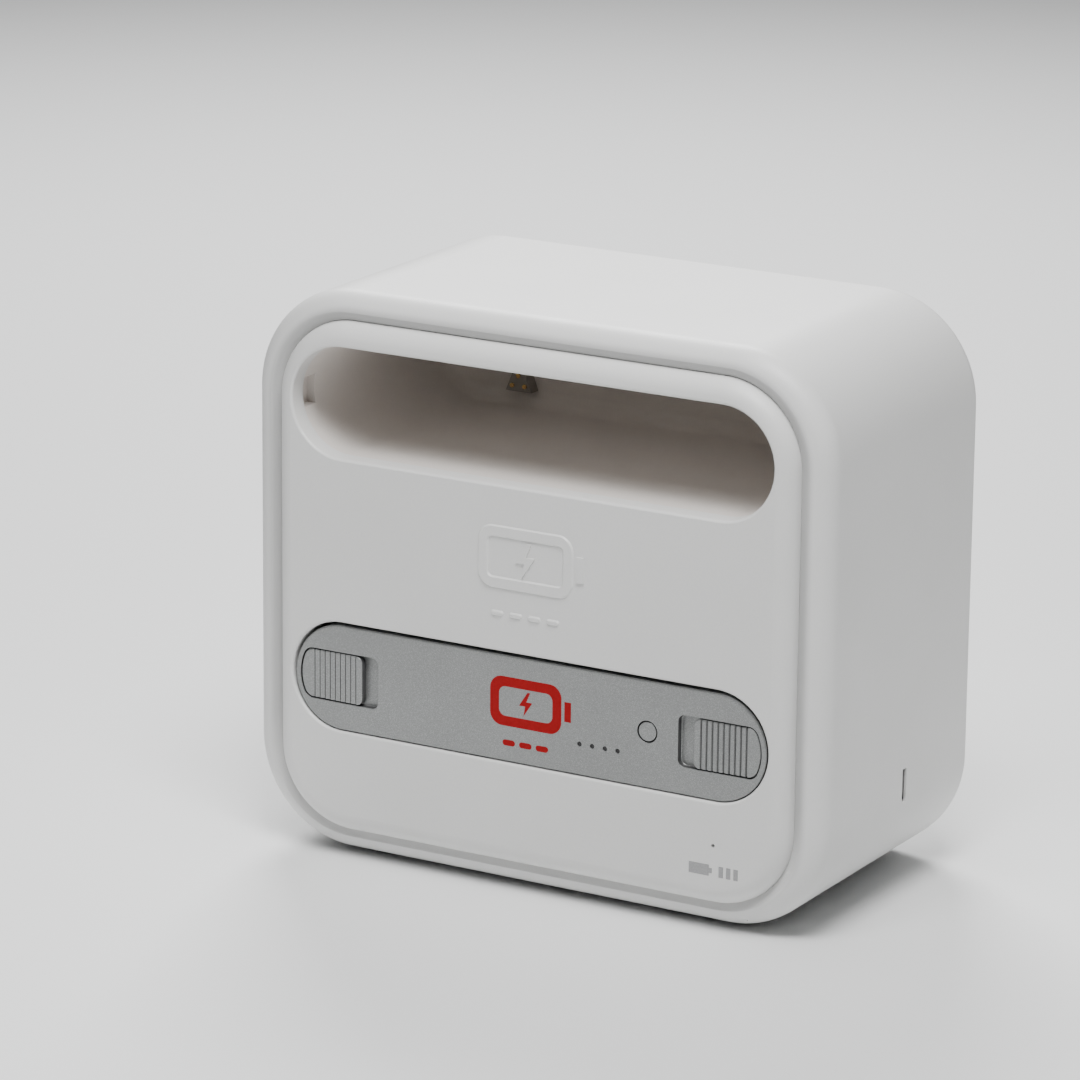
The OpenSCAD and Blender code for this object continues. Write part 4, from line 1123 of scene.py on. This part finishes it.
@dataclass
class Housing(SubAssembly):
    """The casing, the rear cover and the feet they stand on."""

    foot_round: float = 0.7
    foot_dish: float = 0.35
    foot_dish_radius: float = 3.6
    foot_dish_slope: float = 0.5
    foot_segments: int = 48

    coats: ClassVar[dict[str, Finish]] = {
        "front_casing": CASING_WHITE_GROOVE_SHADE,
        "rear_cover": SHELL_WHITE,
        "rear_cover_screws": STEEL,
        "panel_screws": STEEL,
    }

    def model(self) -> None:
        """Turns one foot with a dished sole, and copies it to the four corners."""
        low, high = box_mm("rubber_feet")
        radius = self.foot_radius()
        drawing = Drawing()
        drawing.lathe(self.foot_profile(radius, high.z), self.foot_segments)
        first = [*drawing.bm.verts, *drawing.bm.edges, *drawing.bm.faces]
        places = [
            Vector((x, y, 0))
            for x in (low.x + radius, high.x - radius)
            for y in (low.y + radius, high.y - radius)
        ]
        for place in places[1:]:
            drawing.shift(bmesh.ops.duplicate(drawing.bm, geom=first)["geom"], place)
        drawing.shift(first, places[0])
        piece = drawing.finish("moulded_feet", Matrix.Identity(4))
        self.add(piece, FOOT_RUBBER, Body.CABINET, Slot.RUBBER, "rubber_feet")

    def foot_radius(self) -> float:
        """Radius of a foot in millimetres, from the spread in x of the feet on the right."""
        across = [v.co.x for v in self.nodes["rubber_feet"].data.vertices if v.co.x > 0]
        return (max(across) - min(across)) / 2 / MM

    def foot_profile(self, radius: float, top: float) -> list[Vector]:
        """The profile of a foot that stands on z = 0.

        Args:
            radius: Radius of the foot.
            top: Height at which it ends inside the casing.

        Returns:
            Points of the profile, in the xz plane.
        """
        return [
            Vector((0, 0, self.foot_dish)),
            Vector((self.foot_dish_radius - self.foot_dish_slope, 0, self.foot_dish)),
            Vector((self.foot_dish_radius, 0, 0)),
            *turned_edge(radius, self.foot_round, 0.0, 1.0),
            Vector((radius, 0, top)),
            Vector((0, 0, top)),
        ]


@dataclass
class FrontPanel(SubAssembly):
    """The front panel with its raised symbol, its printed mark and its status lamp."""

    coats: ClassVar[dict[str, Finish]] = {
        "front_panel": PANEL_WHITE,
        "status_symbol": GREY_INK,
        "status_led": SMOKED_GUIDE,
        "status_led_board": CIRCUIT_BOARD,
        "led_board_screws": STEEL,
        "status_lead": LEAD_BLACK,
    }


@dataclass
class Bays(SubAssembly):
    """The two trays behind the panel, and the plugs at their backs."""

    coats: ClassVar[dict[str, Finish]] = {
        "upper_bay_tray": TRAY_WHITE,
        "lower_bay_tray": TRAY_WHITE,
        "upper_bay_header": HEADER_GREY,
        "lower_bay_header": HEADER_GREY,
        "upper_bay_pins": GOLD_CONTACT,
        "lower_bay_pins": GOLD_CONTACT,
        "tray_screws": STEEL,
    }


@dataclass
class ChargingBoard(SubAssembly):
    """The circuit board behind the bays and what is soldered to it."""

    winding_turns: int = 36
    capacitor_pitch: float = 15 * MM

    def finishes(self) -> dict[str, Finish]:
        """The board and its parts."""
        low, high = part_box("power_inductor")
        winding = Winding(
            "copper_winding",
            (0.56, 0.22, 0.09),
            (0.07, 0.02, 0.01),
            self.winding_turns,
            tuple((low + high) / 2),
        )
        low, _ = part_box("smoothing_capacitors")
        sleeve = SleevedFilm(
            "capacitor_sleeve",
            (0.025, 0.028, 0.045),
            (0.05, 0.055, 0.08),
            stripe=(0.55, 0.56, 0.58),
            stripe_at=low.x,
            stripe_pitch=self.capacitor_pitch,
        )
        return {
            "main_circuit_board": CIRCUIT_BOARD,
            "board_chips": BLACK_PLASTIC,
            "smoothing_capacitors": sleeve,
            "power_inductor": winding,
            "heat_sink": HEAT_SINK,
            "board_connectors": WHITE_NYLON,
            "board_screws": STEEL,
        }


@dataclass
class Inlet(SubAssembly):
    """The low-voltage inlet in the rear cover and its lead to the board."""

    coats: ClassVar[dict[str, Finish]] = {
        "dc_inlet": BLACK_PLASTIC,
        "dc_inlet_nut": STEEL,
        "dc_inlet_pin": GOLD_CONTACT,
        "inlet_lead": LEAD_BLACK,
    }


@dataclass
class PackHousing(SubAssembly):
    """The battery pack's silver face plate and black shells."""

    edge_round: float = 0.5
    hole_round: float = 0.12
    support: float = 0.25
    recess_rim: float = 0.15
    recess_fillet: float = 0.3
    corner_round: float = 2.1
    recess_corner: float = 2.5
    recess_depth: float = 2.0
    recess_height: float = 15.6
    recess_run: float = 5.3
    arc_gap: float = 0.35
    hole_depth: float = 3.0
    hole_segments: int = 48
    button_play: float = 0.4
    lamp_radius: float = 0.72
    lamp_inset: float = 1.0
    lamp_count: int = 4
    floor_mark: float = 0.2
    fine_steps: int = 3
    # How dark the plate's sides, recess walls and hole walls and floors go: black plastic on
    # the sides, painted shade in the rest.
    bare: float = 0.85

    coats: ClassVar[dict[str, Finish]] = {
        "pack_symbol": RED_INK,
        "pack_lower_shell": BLACK_SHELL,
        "pack_upper_shell": BLACK_SHELL,
        "pack_screws": STEEL,
        "left_latch_spring": STEEL,
        "right_latch_spring": STEEL,
    }

    def model(self) -> None:
        """Draws the face plate: a rounded stadium with two recesses and five holes."""
        low, high = box_mm("pack_face_plate")
        radius = (high.z - low.z) / 2
        end_x = high.x - radius
        drawing = Drawing()
        face = drawing.stadium(end_x, radius, -self.edge_round)
        drawing.ease(face, Round.BOSS_EDGE, self.edge_round)
        drawing.step(face, self.support, 0.0)
        outer = drawing.border(set())
        middle_z = (low.z + high.z) / 2
        holes = [
            *(self.recess(drawing, side, end_x) for side in Side),
            *self.lamp_holes(drawing, middle_z),
            self.button_hole(drawing, middle_z),
        ]
        drawing.pierce(face, holes)
        foot = drawing.skirt(outer, low.y - high.y)
        bmesh.ops.edgeloop_fill(drawing.bm, edges=foot)
        # Painted shade on the walls of the recesses and holes and on the holes' floors; the
        # plate's sides go to black plastic.
        drawing.mark_moulding_and_shade(self.bare, -self.edge_round, self.floor_mark - self.hole_depth)
        piece = drawing.finish("silver_face_plate", facing_front(0, low.y, middle_z))
        self.add(piece, PACK_SILVER, Body.PACK, Slot.SILVER, "pack_face_plate")

    def recess(self, drawing: Drawing, side: Side, end_x: float) -> list[BMEdge]:
        """Draws one finger recess, with rounded rim, corners and floor.

        Args:
            drawing: Where it is drawn.
            side: Which end of the plate it is at.
            end_x: Distance of the centre of the plate's round end.

        Returns:
            The edges round it, in the plate's face.
        """
        low, high = box_mm(f"{side.name.lower()}_thumb_piece")
        outer = max(abs(low.x), abs(high.x)) + self.arc_gap
        inner = min(abs(low.x), abs(high.x)) - self.recess_run
        wider = self.recess_rim + self.support
        drawn = set(drawing.bm.edges)
        face = latch_outline(
            drawing,
            inner - wider,
            end_x,
            outer - end_x + wider,
            self.recess_height / 2 + wider,
            self.recess_corner,
            self.corner_round,
        )
        if side is Side.LEFT:
            bmesh.ops.scale(drawing.bm, vec=(-1, 1, 1), verts=face.verts)
            face.normal_flip()
        drawing.step(face, self.support, 0.0)
        drawing.ease(face, Round.HOLE_EDGE, self.recess_rim, self.fine_steps)
        drawing.step(face, 0.0, self.recess_fillet + self.recess_rim - self.recess_depth)
        drawing.ease(face, Round.WALL_FOOT, self.recess_fillet, self.fine_steps)
        drawing.step(face, self.support, 0.0)
        return drawing.border(drawn)

    def sunk_hole(self, drawing: Drawing, radius: float, centre: Span) -> list[BMEdge]:
        """Draws a round blind hole with a fine rounded rim.

        Args:
            drawing: Where it is drawn.
            radius: The hole's radius.
            centre: Its middle in the plate's face.

        Returns:
            The edges round it.
        """
        drawn = set(drawing.bm.edges)
        wider = radius + self.hole_round + self.support
        face = drawing.disc(wider, self.hole_segments, centre)
        drawing.step(face, self.support, 0.0)
        drawing.ease(face, Round.HOLE_EDGE, self.hole_round, self.fine_steps)
        drawing.step(face, 0.0, self.hole_round - self.hole_depth)
        return drawing.border(drawn)

    def lamp_holes(self, drawing: Drawing, middle_z: float) -> list[list[BMEdge]]:
        """Draws the holes over the four charge lamps.

        Args:
            drawing: Where they are drawn.
            middle_z: Height of the plate's middle.

        Returns:
            The edges round each hole.
        """
        low, high = box_mm("charge_leds")
        first, last = low.x + self.lamp_inset, high.x - self.lamp_inset
        height = (low.z + high.z) / 2 - middle_z
        places = [
            (first + (last - first) * index / (self.lamp_count - 1), height)
            for index in range(self.lamp_count)
        ]
        return [self.sunk_hole(drawing, self.lamp_radius, place) for place in places]

    def button_hole(self, drawing: Drawing, middle_z: float) -> list[BMEdge]:
        """Draws the hole that the check button moves in.

        Args:
            drawing: Where it is drawn.
            middle_z: Height of the plate's middle.

        Returns:
            The edges round it.
        """
        low, high = box_mm("check_button")
        centre = ((low.x + high.x) / 2, (low.z + high.z) / 2 - middle_z)
        radius = CheckButton.cap_radius + self.button_play
        return self.sunk_hole(drawing, radius, centre)


def latch_outline(
    drawing: Drawing,
    inner: float,
    arc_x: float,
    arc_radius: float,
    half_height: float,
    inner_round: float,
    outer_round: float,
) -> BMFace:
    """Draws the outline that a thumb piece and its recess share: a block with one round end.

    Args:
        drawing: Where it is drawn.
        inner: x of the straight end.
        arc_x: x of the centre of the round end.
        arc_radius: Radius of the round end.
        half_height: Half the height between the straight sides.
        inner_round: Radius of the corners of the straight end.
        outer_round: How far back from its corners the round end is eased.

    Returns:
        The face.
    """
    corner = math.asin(half_height / arc_radius)
    steps = 16
    room = 1.15  # the arc ends a little before the round of its corner starts
    spread = corner - room * outer_round / arc_radius
    arc = [
        Vector((arc_x + arc_radius * math.cos(angle), arc_radius * math.sin(angle), 0))
        for angle in (spread * (2 * index / steps - 1) for index in range(steps + 1))
    ]
    corner_x = arc_x + arc_radius * math.cos(corner)
    corners = [
        Vector((inner, -half_height, 0)),
        Vector((corner_x, -half_height, 0)),
        *arc,
        Vector((corner_x, half_height, 0)),
        Vector((inner, half_height, 0)),
    ]
    radii = [inner_round, outer_round, *([0.0] * len(arc)), outer_round, inner_round]
    return drawing.outline(corners, radii)


@dataclass
class ThumbLatch(SubAssembly):
    """One sliding latch: a ribbed thumb piece on a bolt."""

    side: Side = Side.RIGHT
    edge_round: float = 0.35
    outer_set_back: float = 0.15
    inner_rise: float = 0.45
    outer_round: float = 1.9
    inner_round: float = 2.0
    grip_count: int = 9
    grip_pitch: float = 1.82
    first_grip: float = 2.0
    grip_depth: float = 0.38
    grip_wall: float = 0.14
    notch_depth: float = 0.25
    notch_width: float = 0.34
    # Painted shade on the thumb piece's sides and stem, and in its notches.
    bare: float = 0.8
    notch_shade: float = 0.6
    top_land: float = 0.2
    floor_gap: float = 0.3
    sharp_angle: float = 28.0
    edge_steps: int = 4
    end_radius: float = 14.15
    stem_width: float = 5.4
    stem_height: float = 4.2
    stem_from: float = 8.4

    @property
    def label(self) -> str:
        """The latch's side, as the CAD nodes spell it."""
        return self.side.name.lower()

    def finishes(self) -> dict[str, Finish]:
        """The bolt and its screw."""
        return {
            f"{self.label}_latch_bolt": DARK_NYLON,
            f"{self.label}_latch_screw": STEEL,
        }

    def model(self) -> None:
        """Draws the thumb piece for the right side, and mirrors it for the left."""
        low, high = box_mm(f"{self.label}_thumb_piece")
        plate_low, _ = box_mm("pack_face_plate")
        inner = min(abs(low.x), abs(high.x))
        outer = max(abs(low.x), abs(high.x))
        middle_z = (low.z + high.z) / 2
        drawing = Drawing()
        face = latch_outline(
            drawing,
            inner,
            outer - self.end_radius,
            self.end_radius,
            (high.z - low.z) / 2,
            self.inner_round,
            self.outer_round,
        )
        drawing.ease(face, Round.BOSS_EDGE, self.edge_round, self.edge_steps)
        drawing.step(face, self.top_land, 0.0)
        self.cut_grips(drawing, inner)
        self.lean(drawing, inner, outer)
        back = PackHousing.recess_depth - self.floor_gap
        foot = drawing.skirt(drawing.border(set()), -back)
        bmesh.ops.edgeloop_fill(drawing.bm, edges=foot)
        drawing.box(
            Vector((inner + self.stem_from, -self.stem_height / 2, plate_low.y - high.y)),
            Vector((inner + self.stem_from + self.stem_width, self.stem_height / 2, -back)),
        )
        # Painted shade on the thumb piece's sides and stem.
        drawing.mark_moulding_and_shade(self.bare, -2 * self.edge_round, -back)
        place = facing_front(0, plate_low.y, middle_z)
        if self.side is Side.LEFT:
            place = place @ Matrix.Diagonal((-1, 1, 1, 1))
        piece = drawing.finish(f"{self.label}_ribbed_thumb_piece", place, self.sharp_angle)
        body = Body.LEFT_LATCH if self.side is Side.LEFT else Body.RIGHT_LATCH
        self.add(piece, LATCH_SILVER, body, Slot.SILVER, f"{self.label}_thumb_piece")

    def cut_grips(self, drawing: Drawing, inner: float) -> None:
        """Sinks the grips: each drops steeply into a notch darkened with painted shade and then
        rises slowly.

        Args:
            drawing: The thumb piece so far.
            inner: x of its inner end.
        """
        wall, notch = self.grip_wall, self.notch_width
        rise = (self.grip_pitch - wall - notch) / (self.grip_pitch - wall)
        section = {
            wall: -self.grip_depth,
            wall + notch / 2: -self.grip_depth - self.notch_depth,
            wall + notch: -self.grip_depth * rise,
        }
        first = inner + self.first_grip
        lines_end = first + self.grip_count * self.grip_pitch
        crests = [first + index * self.grip_pitch for index in range(self.grip_count)]
        for crest in (*crests, lines_end):
            drawing.cut(crest)
        lines = [
            (drawing.cut(crest + run), level)
            for crest in crests
            for run, level in section.items()
        ]
        for verts, level in lines:
            bmesh.ops.translate(drawing.bm, verts=verts, vec=(0, 0, level))
        # Notch faces get painted shade.
        for face in drawing.bm.faces:
            x = face.calc_center_median().x
            if first < x < lines_end and wall < (x - first) % self.grip_pitch < wall + notch:
                face[drawing.bare] = self.notch_shade

    def lean(self, drawing: Drawing, inner: float, outer: float) -> None:
        """Tilts the top so that the inner end stands proud of the plate.

        Args:
            drawing: The thumb piece so far, whose top is at the edge's radius.
            inner: x of its inner end.
            outer: x of its outer end.
        """
        slope = -(self.inner_rise + self.outer_set_back) / (outer - inner)
        tilt = Matrix.Identity(4)
        tilt[2][0] = slope
        tilt[2][3] = -self.outer_set_back - self.edge_round - slope * outer
        bmesh.ops.transform(drawing.bm, matrix=tilt, verts=drawing.bm.verts)


@dataclass
class CheckButton(SubAssembly):
    """The round check button, the switch behind it and the charge lamps beside it."""

    cap_radius: float = 2.9
    cap_round: float = 0.22
    cap_set_back: float = 0.08
    crown: float = 0.05
    dome_rings: tuple[float, ...] = (0.0, 0.25, 0.5, 0.75, 0.95)
    flange_thickness: float = 0.7

    coats: ClassVar[dict[str, Finish]] = {
        "charge_leds": CLEAR_LED,
        "light_guide": SMOKED_GUIDE,
        "check_switch": BLACK_PLASTIC,
    }

    def model(self) -> None:
        """Turns the button's cap and flange in one piece."""
        low, high = box_mm("check_button")
        plate_low, _ = box_mm("pack_face_plate")
        depth = high.y - plate_low.y
        flange = (high.x - low.x) / 2
        dome_radius = self.cap_radius - self.cap_round
        dome = [
            Vector((dome_radius * share, 0, self.crown * (1 - share**2) - self.cap_set_back))
            for share in self.dome_rings
        ]
        shelf = self.flange_thickness - depth
        profile = [
            *dome,
            *turned_edge(self.cap_radius, self.cap_round, -self.cap_set_back, -1.0),
            Vector((self.cap_radius, 0, shelf)),
            Vector((flange, 0, shelf)),
            Vector((flange, 0, -depth)),
            Vector((0, 0, -depth)),
        ]
        drawing = Drawing()
        drawing.lathe(profile)
        # Painted shade on the button's side and flange, down in its hole.
        drawing.mark_moulding_and_shade(PackHousing.bare, -2 * self.cap_round, shelf / 2)
        place = facing_front((low.x + high.x) / 2, plate_low.y, (low.z + high.z) / 2)
        piece = drawing.finish("domed_check_button", place)
        self.add(piece, LATCH_SILVER, Body.CHECK_BUTTON, Slot.SILVER, "check_button")


@dataclass
class PackInside(SubAssembly):
    """What the pack holds: cells, strips, board, socket and leads."""

    cell_pitch: float = 20 * MM

    def finishes(self) -> dict[str, Finish]:
        """The cells in their sleeves and everything wired to them."""
        low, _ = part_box("battery_cells")
        sleeve = SleevedFilm(
            "cell_sleeve",
            (0.03, 0.13, 0.24),
            (0.04, 0.17, 0.30),
            stripe=(0.62, 0.64, 0.66),
            stripe_at=low.x,
            stripe_pitch=self.cell_pitch,
        )
        return {
            "battery_cells": sleeve,
            "front_cell_holder": DARK_NYLON,
            "rear_cell_holder": DARK_NYLON,
            "nickel_strips": NICKEL,
            "pack_circuit_board": CIRCUIT_BOARD,
            "pack_board_chips": BLACK_PLASTIC,
            "pack_socket": BLACK_PLASTIC,
            "pack_contacts": GOLD_CONTACT,
            "pack_leads": LEAD_RED,
        }


@dataclass
class Bounds:
    """The box of the CAD model, taken when the frame is loaded."""

    cad: tuple[Vector, Vector] = field(default_factory=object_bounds)

    def write(self) -> None:
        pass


def main() -> None:
    """Loads the frame, builds the studio and every sub-assembly."""
    logging.basicConfig(level=logging.INFO, format="%(name)s: %(message)s")
    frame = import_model()
    bounds = Bounds()
    Studio().build()
    nodes = frame["nodes"]
    assemblies: list[SubAssembly] = [
        Housing(nodes),
        FrontPanel(nodes),
        Bays(nodes),
        ChargingBoard(nodes),
        Inlet(nodes),
        PackHousing(nodes),
        PackInside(nodes),
        ThumbLatch(nodes, side=Side.LEFT),
        ThumbLatch(nodes, side=Side.RIGHT),
        CheckButton(nodes),
    ]
    for assembly in assemblies:
        assembly.build()
    bounds.write()


if __name__ == "__main__":
    main()
